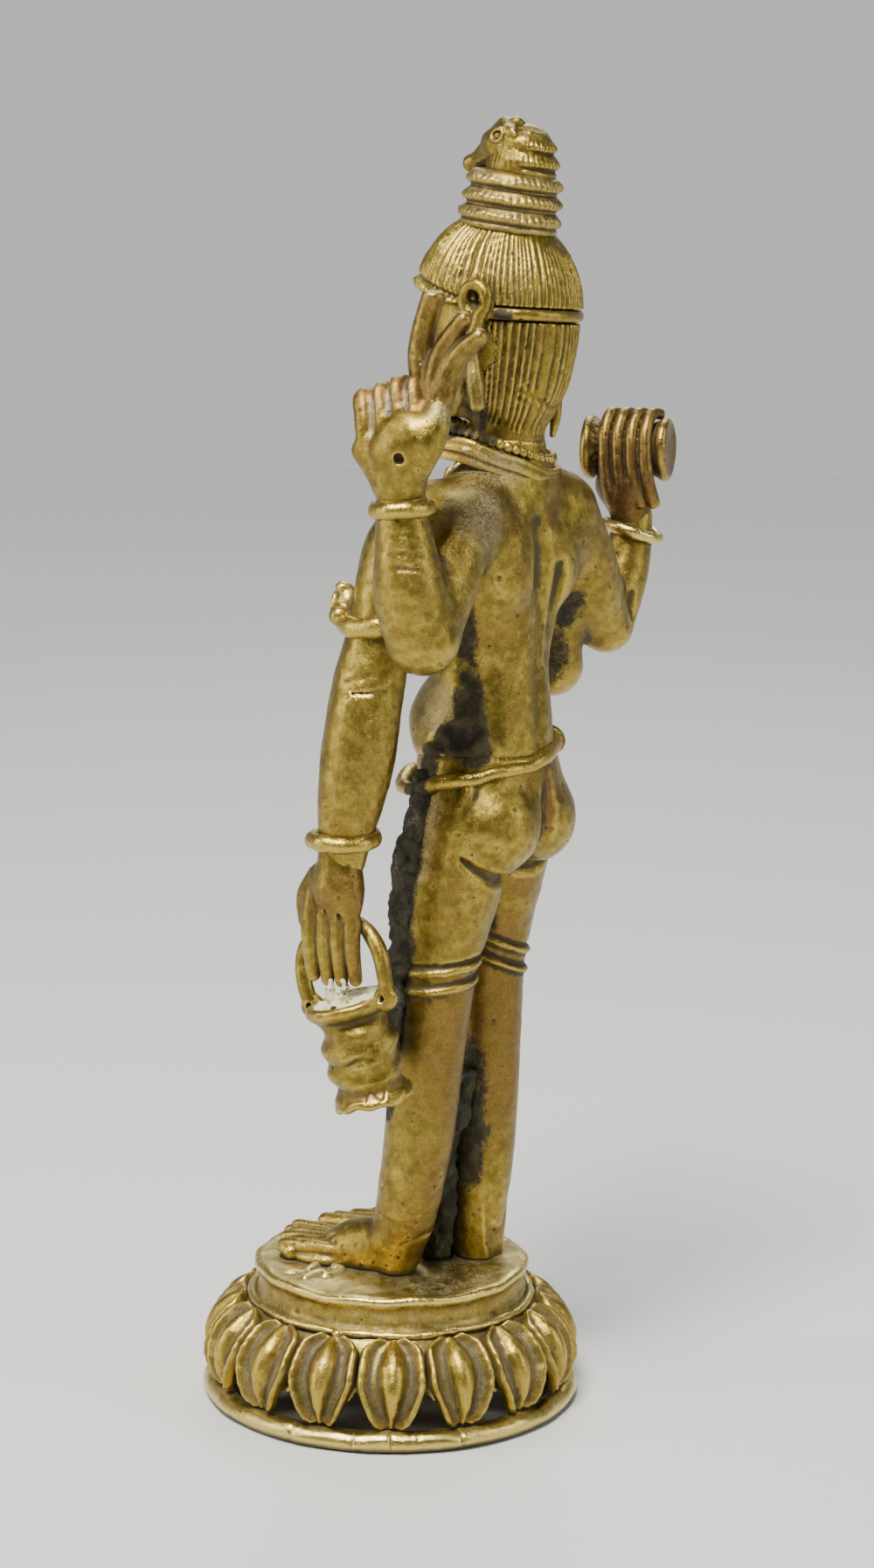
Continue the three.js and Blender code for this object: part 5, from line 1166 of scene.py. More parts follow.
def right_rear_hand():
    f = Field((-30.5, 8.5, 102.5), (-17.5, 21, 120), 0.17)
    f.chain([(-26.0, 15.3, 103.4, 2.3), (-25.7, 15.1, 105.6, 2.5), (-25.2, 14.9, 107.2, 2.7)], 0)
    f.blob((-24.4, 14.6, 108.4), (2.2, 3.7, 2.6), (0, 0, -10), 1.0)
    # fingers over the drum's back, nearest the shoulder side
    for i in range(4):
        k = i - 1.5
        y = 16.0 + 1.55 * k
        x0 = -23.3 - 0.36 * k * 1.5
        f.chain([(x0 - 0.8, y + 0.5, 106.6, 0.85), (x0 + 0.4, y + 0.4, 109.2, 0.80), (x0 + 0.5, y, 112.6, 0.78), (x0 - 0.3, y - 0.4, 115.4, 0.76), (x0 - 2.0, y - 0.6, 117.0, 0.72), (x0 - 3.6, y - 0.6, 116.9, 0.66)], 0.18, step=0.5)
    f.chain([(-27.4, 12.6, 107.0, 1.1), (-28.4, 12.2, 110.0, 1.15), (-28.5, 12.8, 113.0, 1.0)], 0.6, step=0.5)
    V, Q = skin(f)
    build("right_rear_hand", V, Q, kind="brown", hammer=0.04, grain=0.03, pits=2, brown=0.35)


right_rear_hand()


def left_front_hand():
    f = Field((14.5, 0.0, 52.5), (25, 13.5, 70.5), 0.17)
    f.chain([(19.7, 7.2, 69.4, 2.5), (19.8, 7.1, 67.4, 2.55), (19.95, 7.0, 65.6, 2.8)], 0)
    f.blob((20.0, 6.9, 64.4), (2.1, 3.7, 3.9), (0, 0, -8), 1.2)
    for i in range(4):
        k = i - 1.5
        y = 6.75 + 1.72 * k
        x = 20.4 - 0.33 * k
        f.chain([(x + 0.2, y * 0.92 + 0.5, 64.6, 0.7), (x + 0.45, y, 61.6, 0.98), (x + 0.35, y, 58.4, 0.92), (x - 0.3, y + 0.05, 54.6 + 0.30 * abs(k), 0.74)], 0.24, step=0.5)
    for i in range(3):
        k = i - 1.0
        y = 6.75 + 1.72 * k
        x = 21.0 - 0.33 * k
        f.chain([(x + 0.6, y * 0.96 + 0.2, 63.8, 0.15), (x + 0.95, y, 61.8, 0.30), (x + 0.8, y, 58.0, 0.32), (x + 0.3, y, 54.6, 0.30)], 0.22, -1, step=0.5)
    f.chain([(19.9, 4.2, 66.2, 1.3), (20.0, 2.9, 63.8, 1.35), (19.9, 2.6, 61.0, 1.0)], 0.9, step=0.5)
    f.chain([(19.5, 4.0, 62.6, 0.35), (19.6, 3.9, 60.4, 0.6), (19.6, 3.9, 58.6, 0.5)], 0.3, -1)
    V, Q = skin(f)
    build("left_front_hand", V, Q, hammer=0.05, grain=0.03, pits=3, brown=0.25)


left_front_hand()


def right_front_hand():
    f = Field((-20.5, -6.6, 93.6), (-8, 3.5, 111.5), 0.17)
    f.chain([(-14.5, -0.6, 95.4, 2.2), (-14.45, -1.4, 97.6, 2.3), (-14.4, -2.0, 99.4, 2.6)], 0)
    f.blob((-14.4, -2.2, 101.2), (3.5, 1.6, 3.6), (8, 0, 0), 0.8)
    for i in range(4):
        k = i - 1.5
        x = -14.4 + 1.7 * k
        L = 1.0 - 0.08 * abs(k - 0.3)
        f.chain([(x, -2.4, 102.8, 0.9), (x, -2.3, 103.2 + 3.0 * L, 0.86), (x, -1.9, 103.2 + 5.4 * L, 0.8), (x, -1.4, 103.2 + 7.3 * L, 0.7)], 0.2, step=0.5)
    f.chain([(-11.6, -2.3, 100.2, 1.15), (-10.5, -2.7, 102.4, 1.05), (-10.1, -2.7, 104.8, 0.85)], 0.6, step=0.5)
    for z in (99.6, 101.4):
        f.chain([(-17, -3.4, z + 1.0, 0.1), (-14.5, -4.0, z, 0.16), (-12.2, -3.5, z + 0.3, 0.1)], 0.15, -1, step=0.4)
    V, Q = skin(f)
    build("right_front_hand", V, Q, hammer=0.04, grain=0.03, pits=2, brown=0.2)


right_front_hand()

# ------------------------------------------------------------------ things held
f = Field((17, 16.5, 116), (24, 28, 132), 0.16)
f.blob((20.7, 20.4, 119.6), (1.3, 1.9, 1.7))
f.chain([(20.8, 19.6, 118.6, 1.2), (20.5, 18.3, 121.0, 1.35), (20.5, 17.9, 123.4, 1.4), (20.5, 18.3, 126.2, 1.3), (20.5, 19.5, 129.6, 1.3)], 0.3, step=0.5)
f.chain([(20.8, 20.2, 118.0, 1.3), (20.4, 19.9, 121.6, 1.4), (20.3, 21.3, 125.0, 1.15), (20.3, 23.3, 127.3, 0.95)], 0.3, step=0.5)
f.chain([(20.8, 20.8, 118.4, 1.3), (20.2, 21.7, 122.2, 1.35), (20.0, 23.2, 124.2, 1.15), (19.9, 25.0, 125.6, 0.95)], 0.3, step=0.5)
f.half((20.6, 19.6, 130.3), (0.1, 0.15, 1), 0.25)
f.chain([(20.9, 20.9, 121.0, 0.3), (20.6, 20.6, 124.0, 0.35)], 0.4, -1)
cast("held_three_prong_emblem", f, kind="brown", hammer=0.07, grain=0.04, pits=4, brown=0.15)


def drum():
    r = [(0, 0), (3.0, 0), (3.55, 0.15), (3.85, 0.6), (3.75, 1.1), (3.45, 1.4), (3.35, 1.7), (3.05, 2.3), (2.6, 3.4), (2.4, 4.6), (2.4, 6.0), (2.6, 7.2), (3.05, 8.3), (3.35, 8.9), (3.45, 9.2), (3.75, 9.5), (3.85, 10.0), (3.55, 10.45), (3.0, 10.6), (0, 10.6)]
    V, Q, T = lathe(r, 150, 0.2)
    th = np.arctan2(V[:, 1], V[:, 0])
    z = V[:, 2]
    R = np.hypot(V[:, 0], V[:, 1])
    for end, s in ((0.0, 1), (10.6, -1)):  # dished heads with a cord round the rim
        inside = np.clip(1 - R / 3.1, 0, 1) ** 0.5
        V[:, 2] += s * 0.5 * inside * (np.abs(z - end) < 0.05)
    body = np.clip((z - 1.6) / 0.5, 0, 1) * np.clip((9.0 - z) / 0.5, 0, 1) * (R > 2)
    push = -0.16 * body * ridges(th + 0.25 * np.sin((z - 5.3) * 0.6), 22, 0.8) + 0.09 * np.sin(th * 3 + z)
    V[:, :2] *= ((R + push * (R > 1.5)) / np.maximum(R, 1e-6))[:, None]
    # the turned axis runs mostly along +Y, swung towards -X
    M = rot(0, 0, math.degrees(0.36)) @ rot(-90, 0, 0)
    V = (V - np.array([0, 0, 5.3])) @ M.T + np.array([-26.2, 14.3, 112.8])
    build("hand_drum", V, Q, T, kind="brown", hammer=0.06, grain=0.03, pits=2, brown=0.35)


drum()
POT_R = rot(13, 8, 0)
POT_AT = vec(19.0, 7.9, 52.3)


def pot():
    prof = [(0, -11.8), (4.2, -11.85), (4.6, -11.5), (4.45, -10.9), (3.95, -10.1), (3.72, -9.4), (3.85, -8.5), (4.2, -7.6), (4.28, -7.0), (4.08, -6.3), (4.22, -5.5), (4.32, -4.8), (4.1, -3.9), (3.65, -2.9), (3.5, -2.2), (3.8, -1.6), (4.6, -1.1), (5.05, -0.5), (4.98, 0.15), (4.5, 0.42), (4.0, 0.25), (3.65, -0.2), (3.5, -1.0), (0, -1.5)]
    V, Q, T = lathe(prof, 210, 0.18)
    th = np.arctan2(V[:, 1], V[:, 0])
    R = np.hypot(V[:, 0], V[:, 1])
    z = V[:, 2]
    outer = (R > 3.0) & (z < -1.4)
    wavy = 0.20 * np.sin(z * 2.1 + 1.3 * np.sin(th + 0.6) + 2.2 * np.sin(2 * th) * 0.3) * np.clip((z + 11) / 2, 0, 1) + 0.14 * noise(V, 0.55, 4)
    dent = -0.42 * np.exp(-(((z + 6.4 - 0.5 * np.sin(th * 2)) / 0.45) ** 2) - (((np.mod(th - 0.45 + math.pi, 2 * math.pi) - math.pi) / 0.35) ** 2))
    V[:, :2] *= ((R + (wavy + dent) * outer) / np.maximum(R, 1e-6))[:, None]
    foot_lip = z < -10.6
    V[:, 2] += 0.22 * np.sin(th * 3 + 1) * foot_lip + 0.12 * np.sin(th * 9) * foot_lip
    # crack in the foot
    w = np.mod(th - 0.75 + math.pi, 2 * math.pi) - math.pi
    V[:, :2] *= (1 - 0.05 * np.exp(-(((z + 10.4 + 0.5 * np.sin(w * 12)) / 0.16) ** 2)) * (np.abs(w) < 0.32) * (R > 3))[:, None]
    V = V @ POT_R.T + POT_AT

    def film(V, b, d, g, c):
        q = (V - POT_AT) @ POT_R
        top = np.clip((q[:, 2] + 0.35) / 0.5, 0, 1) * np.clip((4.4 - np.hypot(q[:, 0], q[:, 1])) / 0.8, 0, 1)
        waist = 0.75 * np.clip(1 - np.abs(q[:, 2] + 10.0) / 1.1, 0, 1)
        side = 0.8 * near(V, (14.6, 8.0, 43.5), (3.0, 4.0, 6.0), 0.6)
        return np.maximum(b, waist), d, np.maximum(g, side), np.maximum(c, top)

    build("water_pot", V, Q, T, hammer=0.08, grain=0.04, pits=5, brown=0.1, masks=film)


pot()


def pot_handle():
    pts = [(0, -5.45, -0.4), (-0.2, -5.75, 2.2), (-0.8, -5.5, 5.6), (-1.6, -3.0, 8.2), (-1.9, 0.2, 9.0), (-1.6, 3.2, 8.2), (-0.8, 5.4, 5.6), (-0.2, 5.75, 2.2), (0, 5.45, -0.4)]
    W = [tuple(POT_R @ np.array(p) + POT_AT) for p in pts]
    P = np.array(W)
    f = Field(P.min(0) - 2.6, P.max(0) + 2.2, 0.16)
    f.chain([(*p, 0.86 + 0.10 * math.sin(2.3 * i)) for i, p in enumerate(W)], 0, step=0.5)
    for p, s in ((P[0], -1), (P[-1], 1)):  # eyes where the bail joins the rim
        q = p + POT_R @ vec(0, -0.15 * s, 0.35)
        f.ring(q, 0.95, 1.05, 0.5, (13, 82, 0), 0.3)
        f.blob(q + POT_R @ vec(0, -0.7 * s, -0.6), (1.3, 1.0, 0.8), k=0.5)
        f.blob(q, (1.6, 0.34, 0.46), k=0.12, op=-1)
    V, Q = skin(f)
    build("water_pot_handle", V, Q, kind="aged", hammer=0.06, grain=0.04, pits=3)


pot_handle()


def deposit():
    """Pale dried deposit heaped on the pot's mouth round the fingertips."""
    f = Field((13.5, 2.0, 49.6), (24.5, 14.0, 57.5), 0.17)
    rng = np.random.default_rng(5)
    for k in range(26):
        a = rng.uniform(0, 2 * math.pi)
        r = 3.3 * math.sqrt(rng.uniform(0.02, 1))
        q = POT_R @ vec(r * math.cos(a), r * math.sin(a), rng.uniform(-0.6, 0.0) + 0.35 * (r > 2)) + POT_AT
        f.blob(q, rng.uniform(0.5, 1.0, 3) * vec(1, 1, 0.7), (0, 0, rng.uniform(0, 90)), 0.5)
    f.blob(POT_R @ vec(0, 0, -0.5) + POT_AT, (3.5, 3.5, 0.9), (13, 8, 0), 0.4)
    for k in range(3):
        y = 6.75 + 1.72 * (k - 1)
        f.chain([(20.5, y, 52.9, 0.6), (20.7, y, 54.8, 0.35)], 0.4)
    X, Y, Z = f.grid()
    P = np.stack(np.broadcast_arrays(X, Y, Z), -1)
    f.F += (0.28 * noise(P, 1.3, 3) + 0.14 * noise(P, 2.9, 4)).astype(f32)
    V, Q = skin(f)
    build("pot_mouth_deposit", V, Q, nodes=[], kind="crust", hammer=0.05, grain=0.06, masks=lambda V, b, d, g, c: (b, 0 * d, g, np.clip(0.75 + 0.9 * fbm(V, 1.1, 8), 0.15, 1)))


deposit()

# ------------------------------------------------------------------ casting crust


def crust(name, chains, lo, hi, seed, flat_to=None, film=None):
    f = Field(lo, hi, 0.26)
    for st in chains:
        f.chain(st, 0.8)
    X, Y, Z = f.grid()
    P = np.stack(np.broadcast_arrays(X, Y, Z), -1)
    f.F += (0.45 * noise(P, 0.38, seed) + 0.30 * noise(P, 1.05, seed + 1) + 0.20 * noise(P, 2.1, seed + 2)).astype(f32)
    if flat_to:
        f.half(*flat_to)
    V, Q = skin(f)
    build(name, V, Q, kind="crust", hammer=0.06, grain=0.10, pits=16, masks=film)


def side_film(V, b, d, g, c):
    n, m = fbm(V, 0.5, 21), fbm(V, 1.6, 22)
    return 0.55 + 0 * b, np.clip(0.80 + 0.6 * n + 0.4 * m, 0.30, 1), np.clip(0.15 - 0.8 * n + 0.6 * m, 0, 0.7), np.clip(1.6 * m - 0.85, 0, 1)


crust("side_crust", [
    [(7.2, 9.6, 76.2, 1.3), (7.8, 9.6, 73.0, 1.7), (8.4, 8.8, 68.0, 1.9), (8.6, 7.7, 61.0, 1.7), (8.3, 7.0, 54.5, 1.4)],
    [(8.9, 7.0, 55.0, 1.5), (9.8, 6.6, 50.5, 1.5), (10.9, 6.9, 46.5, 1.6), (12.2, 7.3, 43.8, 1.4)],
    [(9.0, 6.2, 48.0, 1.1), (8.8, 5.6, 43.0, 1.0), (8.6, 5.0, 39.5, 0.7)],
], (4, 2, 36.5), (16, 14.5, 79), 31, film=side_film)
crust("leg_web_crust", [
    [(-2.1, 5.0, 17.6, 1.9), (-2.1, 5.4, 22.0, 1.9), (-2.1, 5.8, 27.0, 1.7), (-2.1, 6.2, 32.0, 1.6), (-2.0, 7.2, 37.0, 1.7)],
    [(-1.6, 8.0, 35.0, 1.8), (-2.0, 8.6, 39.6, 1.2)],
], (-6, 1.5, 16.3), (4, 14, 42.5), 41, flat_to=((0, 0, PLATE + 0.05), (0, 0, -1), 0.1), film=side_film)

# ------------------------------------------------------------------ base


def foot_ring():
    prof = [(19.6, 0.75), (19.85, 0.2), (20.4, 0.0), (21.4, 0.0), (22.1, 0.25), (22.6, 0.95), (22.5, 1.65), (22.0, 2.2), (21.2, 2.42), (20.4, 2.36), (19.85, 2.0), (19.6, 1.4)]
    P = np.array(prof)
    closed = np.vstack([P, P[:1]])
    s = np.concatenate([[0], np.cumsum(np.linalg.norm(np.diff(closed, axis=0), axis=1))])
    n = 34
    u = np.linspace(0, s[-1], n, endpoint=False)
    pr = np.stack([np.interp(u, s, closed[:, 0]), np.interp(u, s, closed[:, 1])], 1)
    for _ in range(2):
        pr = 0.5 * pr + 0.25 * (np.roll(pr, 1, 0) + np.roll(pr, -1, 0))
    nth = 560
    th = np.arange(nth) * 2 * math.pi / nth
    V = np.stack([pr[None, :, 0] * np.cos(th)[:, None], pr[None, :, 0] * np.sin(th)[:, None], np.repeat(pr[None, :, 1], nth, 0)], 2)
    TH = np.repeat(th[:, None], n, 1)
    rr = np.hypot(V[..., 0], V[..., 1])
    up = np.clip((V[..., 2] - 0.3) / 1.2, 0, 1)
    push = (0.16 * np.sin(TH * 6 + 1.2) * 0.6 + 0.10 * np.sin(TH * 13 + 0.4)) * up * (rr > 21)
    V[..., :2] *= ((rr + np.minimum(push, 0.1)) / rr)[..., None]
    V[..., 2] += up * (0.10 * np.sin(TH * 9 + 2) + 0.08 * np.sin(TH * 23))
    for a0, dz in ((0.651, 0.35), (0.45, 0.2), (1.02, 0.2), (0.12, 0.2)):  # file nicks and a casting pit
        V[..., :2] *= (1 - 0.012 * dz / 0.35 * np.exp(-((TH - a0) / 0.010) ** 2) * up)[..., None]
    V = V.reshape(-1, 3)
    i, j = np.meshgrid(np.arange(nth), np.arange(n), indexing="ij")
    i, j = i.ravel(), j.ravel()
    i2, j2 = (i + 1) % nth, (j + 1) % n
    Q = np.stack([i * n + j, i2 * n + j, i2 * n + j2, i * n + j2], 1)
    build("base_foot_ring", V, Q, kind="worn", hammer=0.05, grain=0.035, pits=5, worn=0.15)


foot_ring()
MIDS = [((k + 0.664) / 16) * 2 * math.pi for k in range(16)]


def plinth():
    h = 0.3
    f = Field((-21.6, -21.6, 4.6), (21.6, 21.6, 17.4), h)
    prof = np.array([(0, 16.4), (14.9, 16.4), (15.6, 16.48), (16.25, 16.3), (16.45, 15.9), (16.3, 15.4), (16.0, 15.0), (15.85, 14.4), (15.85, 13.2), (16.3, 12.3), (17.2, 11.5), (18.2, 10.3), (19.3, 8.3), (20.1, 6.6), (20.5, 5.4), (19.9, 5.2), (18.9, 6.4), (17.0, 9.3), (13.6, 11.4), (13.4, 14.0), (0, 14.0)])
    # signed distance of the section on a fine grid, then turned about the axis
    rs, zs = np.arange(0, 23, 0.1), np.arange(4.0, 18, 0.1)
    Rg, Zg = np.meshgrid(rs, zs, indexing="ij")
    best, inside = np.full(Rg.shape, 1e9), np.zeros(Rg.shape, bool)
    for a, b in zip(prof, np.roll(prof, -1, 0)):
        ab = b - a
        t = np.clip(((Rg - a[0]) * ab[0] + (Zg - a[1]) * ab[1]) / max(ab @ ab, 1e-9), 0, 1)
        if not (a[0] == 0 and b[0] == 0):
            best = np.minimum(best, np.hypot(Rg - a[0] - t * ab[0], Zg - a[1] - t * ab[1]))
        hit = ((a[1] > Zg) != (b[1] > Zg)) & (Rg < (b[0] - a[0]) * (Zg - a[1]) / (b[1] - a[1] + 1e-12) + a[0])
        inside ^= hit
    sd = np.where(inside, -best, best).astype(f32)
    X, Y, Z = f.grid()
    R = np.hypot(X, Y)
    TH = np.arctan2(Y, X) + 0 * Z
    Zw = Z + 0.12 * np.sin(TH * 5 + 1) * np.clip((R - 12) / 4, 0, 1) + 0.07 * np.sin(TH * 13)
    Rw = R + 0.10 * np.sin(TH * 4 + 2) + 0.05 * np.sin(TH * 19) * (Z > 15)
    a, b = np.clip(Rw / 0.1, 0, len(rs) - 1.01), np.clip((Zw - 4.0) / 0.1, 0, len(zs) - 1.01)
    i, j = a.astype(int), b.astype(int)
    u, v = a - i, b - j
    i, j = np.broadcast_arrays(i, j)
    f.F = ((sd[i, j] * (1 - u) + sd[i + 1, j] * u) * (1 - v) + (sd[i, j + 1] * (1 - u) + sd[i + 1, j + 1] * u) * v).astype(f32)
    # pointed windows between the petals, open to the hollow inside
    for m in MIDS:
        g = m + math.pi / 16
        c, s = math.cos(g), math.sin(g)
        f.chain([(21.6 * c, 21.6 * s, 4.0, 1.75), (21.1 * c, 21.1 * s, 5.2, 1.25), (20.6 * c, 20.6 * s, 6.4, 0.7), (20.2 * c, 20.2 * s, 7.4, 0.3)], 0.25, -1)
        f.chain([(18.4 * c, 18.4 * s, 4.2, 1.7), (18.8 * c, 18.8 * s, 5.8, 1.0), (18.6 * c, 18.6 * s, 7.8, 0.4)], 0.3, -1)
    # irregular rim of molten metal round a bare grey patch on the plate
    ang = np.linspace(0, 2 * math.pi, 15)
    rng = np.random.default_rng(3)
    wob = 1 + 0.22 * rng.standard_normal(15)
    wob[-1] = wob[0]
    f.chain([(9.9 + 2.6 * w * math.cos(t), -2.4 + 1.8 * w * math.sin(t), 16.55, 0.44 + 0.12 * math.sin(3 * t)) for t, w in zip(ang, wob)], 0.25, step=0.4)
    f.chain([(11.6, -4.0, 16.4, 0.3), (13.0, -5.0, 16.5, 0.42), (13.6, -6.4, 16.4, 0.25)], 0.3)
    f.F += 0
    V, Q = skin(f)

    def film(V, b, d, g, c):
        R = np.hypot(V[:, 0], V[:, 1])
        n, m = fbm(V, 0.5, 3), fbm(V, 1.5, 4)
        wall = np.clip((16.3 - R) / 0.3, 0, 1) * np.clip((15.3 - V[:, 2]) / 0.3, 0, 1) * (R > 14)
        plate = (V[:, 2] > 16.1) & (R < 15.6)
        lip = np.clip((R - 15.5) / 0.5, 0, 1) * (V[:, 2] > 15.2)
        b = np.maximum(b * (1 - lip), 0.38 * wall)
        b = np.where(plate, np.clip(0.3 * n, 0, 0.3), b)
        g = np.where(plate, np.maximum(g, np.clip(0.55 + 0.9 * n + 0.5 * m, 0.1, 0.95)), g)
        film_patch = near(V, (9.6, -2.6, 16.4), (2.3, 1.5, 0.6), 0.3)
        d = np.where(plate, np.maximum(d * 0.3, 0.45 * near(V, (-2.6, 5.0, 16.4), (2.4, 5.0, 1.0), 0.5)), d)
        # the hollow inside and the lower skirt under the petals go dark: painted shade, with some dirt
        inner = np.clip((19.6 - R) / 0.6, 0, 1) * (V[:, 2] < 9.5)
        d = np.maximum(d, inner)
        skirt = V[:, 2] < 11.8
        return b, np.where(skirt, np.maximum(d, 0.15 + 0.3 * m), d), np.maximum(g, film_patch), c

    build("plinth", V, Q, kind="worn", hammer=0.07, grain=0.04, pits=4, masks=film, worn=0.16, reach=0.7)


plinth()


def collar():
    """Short rolled strips laid end to end round the wall, with one gap holding a ball."""
    f = Field((-17.9, -17.9, 10.6), (17.9, 17.9, 13.6), 0.2)
    cuts = np.radians([17.5, 30, 58, 96, 131, 170, 214, 251, 290, 331, 377.5 - 3.4])
    for i, (a, b) in enumerate(zip(cuts[:-1], cuts[1:])):
        a2, b2 = a + 0.012, b - 0.012
        n = max(3, int((b2 - a2) / 0.06))
        pts = []
        for t in np.linspace(0, 1, n):
            q = a2 + (b2 - a2) * t
            e = min(t, 1 - t) * (b2 - a2) * 16.6
            pts.append((16.75 * math.cos(q), 16.75 * math.sin(q), 12.2 + 0.10 * math.sin(5 * q + i) + 0.08 * math.sin(13 * q), (0.52 + 0.06 * math.sin(7 * q + i)) * (0.72 + 0.28 * min(1, e / 0.6))))
        f.chain(pts, 0.10, step=0.6)
    q = math.radians(15.6)
    f.blob((16.9 * math.cos(q), 16.9 * math.sin(q), 12.0), (0.62, 0.62, 0.62), k=0.05)
    f.ring((0, 0, 12.15), 16.35, 16.35, 0.34, k=0.25)
    V, Q = skin(f)
    build("petal_collar", V, Q, kind="worn", hammer=0.04, grain=0.03, pits=3)


collar()
SWEEP = np.array([(20.9, 2.9), (21.25, 3.7), (21.6, 4.9), (21.6, 6.4), (21.0, 8.4), (19.75, 10.1), (18.3, 11.25), (17.5, 11.75)])


def petal(k):
    """A cast petal: beaded rims meeting at a point on the ring, a hollow channel, and an almond midrib."""
    m = MIDS[k]
    rng = np.random.default_rng(100 + k)
    lean, fat, shift = rng.uniform(-0.05, 0.05), rng.uniform(0.92, 1.08), rng.uniform(-0.05, 0.05)
    s = np.concatenate([[0], np.cumsum(np.linalg.norm(np.diff(SWEEP, axis=0), axis=1))])
    nu, nv = 34, 52
    v = np.linspace(0, 1, nv)
    P = hermite(s, SWEEP, v * s[-1])
    D = np.gradient(P, axis=0)
    D /= np.linalg.norm(D, axis=1)[:, None]
    Nn = np.stack([D[:, 1], -D[:, 0]], 1)
    half = np.interp(v, (0, 0.05, 0.12, 0.22, 0.34, 0.46, 0.60, 0.72, 0.82, 0.90, 0.96, 1.0), (1.7, 2.1, 2.6, 3.1, 3.65, 4.1, 4.2, 4.05, 3.75, 3.3, 2.6, 1.5))
    half = np.convolve(np.pad(half, 2, mode="edge"), np.ones(5) / 5, "valid")
    half = np.minimum(half, P[:, 0] * math.pi / 16 * 0.985)
    u = np.sin(np.linspace(-1, 1, nu) * math.pi / 2 * 0.93) / math.sin(math.pi / 2 * 0.93)
    U, W = np.meshgrid(u, v, indexing="ij")
    H = np.repeat(half[None], nu, 0)
    mmu = U * H  # millimetres from the middle
    edge = H - np.abs(mmu)
    knots = 1 + 0.07 * np.sin(W * s[-1] * 5.2 + 2.0 * np.sign(U) + k)
    bead = 0.66 * knots * np.exp(-(((edge - 0.60) / 0.50) ** 2)) * np.clip(W / 0.08, 0.4, 1) * (0.65 + 0.35 * np.clip(1.3 - W, 0, 1))
    fall = 0.60 * np.clip(1 - edge / 0.30, 0, 1) ** 1.5
    rib_w = fat * np.interp(W, (0, 0.10, 0.2, 0.34, 0.5, 0.66, 0.82, 0.92, 1.0), (0.25, 0.45, 0.8, 1.2, 1.55, 1.6, 1.2, 0.7, 0.40))
    c0 = shift * H + lean * (W - 0.4) * 3
    q = np.abs(mmu - c0) / rib_w
    rib = np.interp(W, (0, 0.08, 0.2, 0.4, 0.66, 0.84, 0.94, 1), (0.3, 0.55, 0.85, 1.2, 1.3, 0.95, 0.45, 0.1)) * np.clip(1 - q * q, 0, 1) ** 0.7
    dish = -0.50 * np.clip((edge - 0.8) / 0.7, 0, 1) * np.clip((H - 1.2) / 1.4, 0, 1) * np.clip((1.05 - W) / 0.2, 0, 1)
    hollow = dish
    relief = 0.30 + bead - fall + rib + dish

    def world(U, off):
        ang = m + (U * H) / P[None, :, 0] + 0.012 * lean * 10 * (W - 0.5)
        r = P[None, :, 0] + Nn[None, :, 0] * off
        z = P[None, :, 1] + Nn[None, :, 1] * off
        return np.stack([r * np.cos(ang), r * np.sin(ang), z], 2)

    top = world(U, relief)
    back = world(U * 0.93, -0.85 + 0.35 * np.clip(1 - edge / 0.5, 0, 1))
    idt = np.arange(nu * nv).reshape(nu, nv)
    idb = idt + nu * nv

    def sheet(i, flip):
        q = np.stack([i[:-1, :-1], i[1:, :-1], i[1:, 1:], i[:-1, 1:]], -1).reshape(-1, 4)
        return q[:, ::-1] if flip else q

    Q = [sheet(idt, False), sheet(idb, True)]
    border = np.concatenate([idt[:-1, 0], idt[-1, :-1], idt[:0:-1, -1], idt[0, :0:-1]])
    other = border + nu * nv
    Q.append(np.stack([border, other, np.roll(other, -1), np.roll(border, -1)], 1))
    V, Q = np.concatenate([top.reshape(-1, 3), back.reshape(-1, 3)]), np.concatenate(Q)

    def film(V, b, d, g, c):
        chan = np.zeros(len(V))
        chan[: nu * nv] = (np.exp(-(((edge - 1.4) / 0.7) ** 2)) * np.clip((q - 0.7) * 2, 0, 1)).ravel()
        return np.maximum(b, 0.45 * chan), d, np.maximum(g, 0.30 * chan * np.clip(0.9 + fbm(V, 0.4, 6 + k), 0, 1)), c

    build("lotus_petal_%02d" % (k + 1), V, Q, hammer=0.05, grain=0.03, pits=3, masks=film, reach=0.40)


for k in range(16):
    petal(k)

# ------------------------------------------------------------------ stage


def plain(name, color, rough=0.8):
    m = bpy.data.materials.new(name)
    m.use_nodes = True
    b = m.node_tree.nodes["Principled BSDF"]
    b.inputs["Base Color"].default_value = (*color, 1)
    b.inputs["Roughness"].default_value = rough
    return m


floor_mesh = bpy.data.meshes.new("floor")
n = 64
ring_pts = [(2.5 * math.cos(2 * math.pi * i / n), 2.5 * math.sin(2 * math.pi * i / n), 0) for i in range(n)]
floor_mesh.from_pydata(ring_pts, [], [tuple(range(n))])
floor = bpy.data.objects.new("floor", floor_mesh)
bpy.context.scene.collection.objects.link(floor)
paint = plain("floor_paint", (0.56, 0.56, 0.545))
pt, pb = paint.node_tree, paint.node_tree.nodes["Principled BSDF"]
# painted light: the floor glows more the farther it lies along the view, so that it fades into the backdrop
far = pt.nodes.new("ShaderNodeVectorMath")
far.operation = "DOT_PRODUCT"
far.inputs[1].default_value = (-math.sin(math.radians(127)), math.cos(math.radians(127)), 0)
pt.links.new(pt.nodes.new("ShaderNodeTexCoord").outputs["Object"], far.inputs[0])
floor_glow = pt.nodes.new("ShaderNodeMapRange")
floor_glow.interpolation_type = "SMOOTHSTEP"
for key, v in (("From Min", 0.25), ("From Max", 1.3), ("To Min", 0.0), ("To Max", 0.47)):
    floor_glow.inputs[key].default_value = v
pt.links.new(far.outputs["Value"], floor_glow.inputs["Value"])
pb.inputs["Emission Color"].default_value = (1, 1, 0.985, 1)
pt.links.new(floor_glow.outputs[0], pb.inputs["Emission Strength"])
floor_mesh.materials.append(paint)

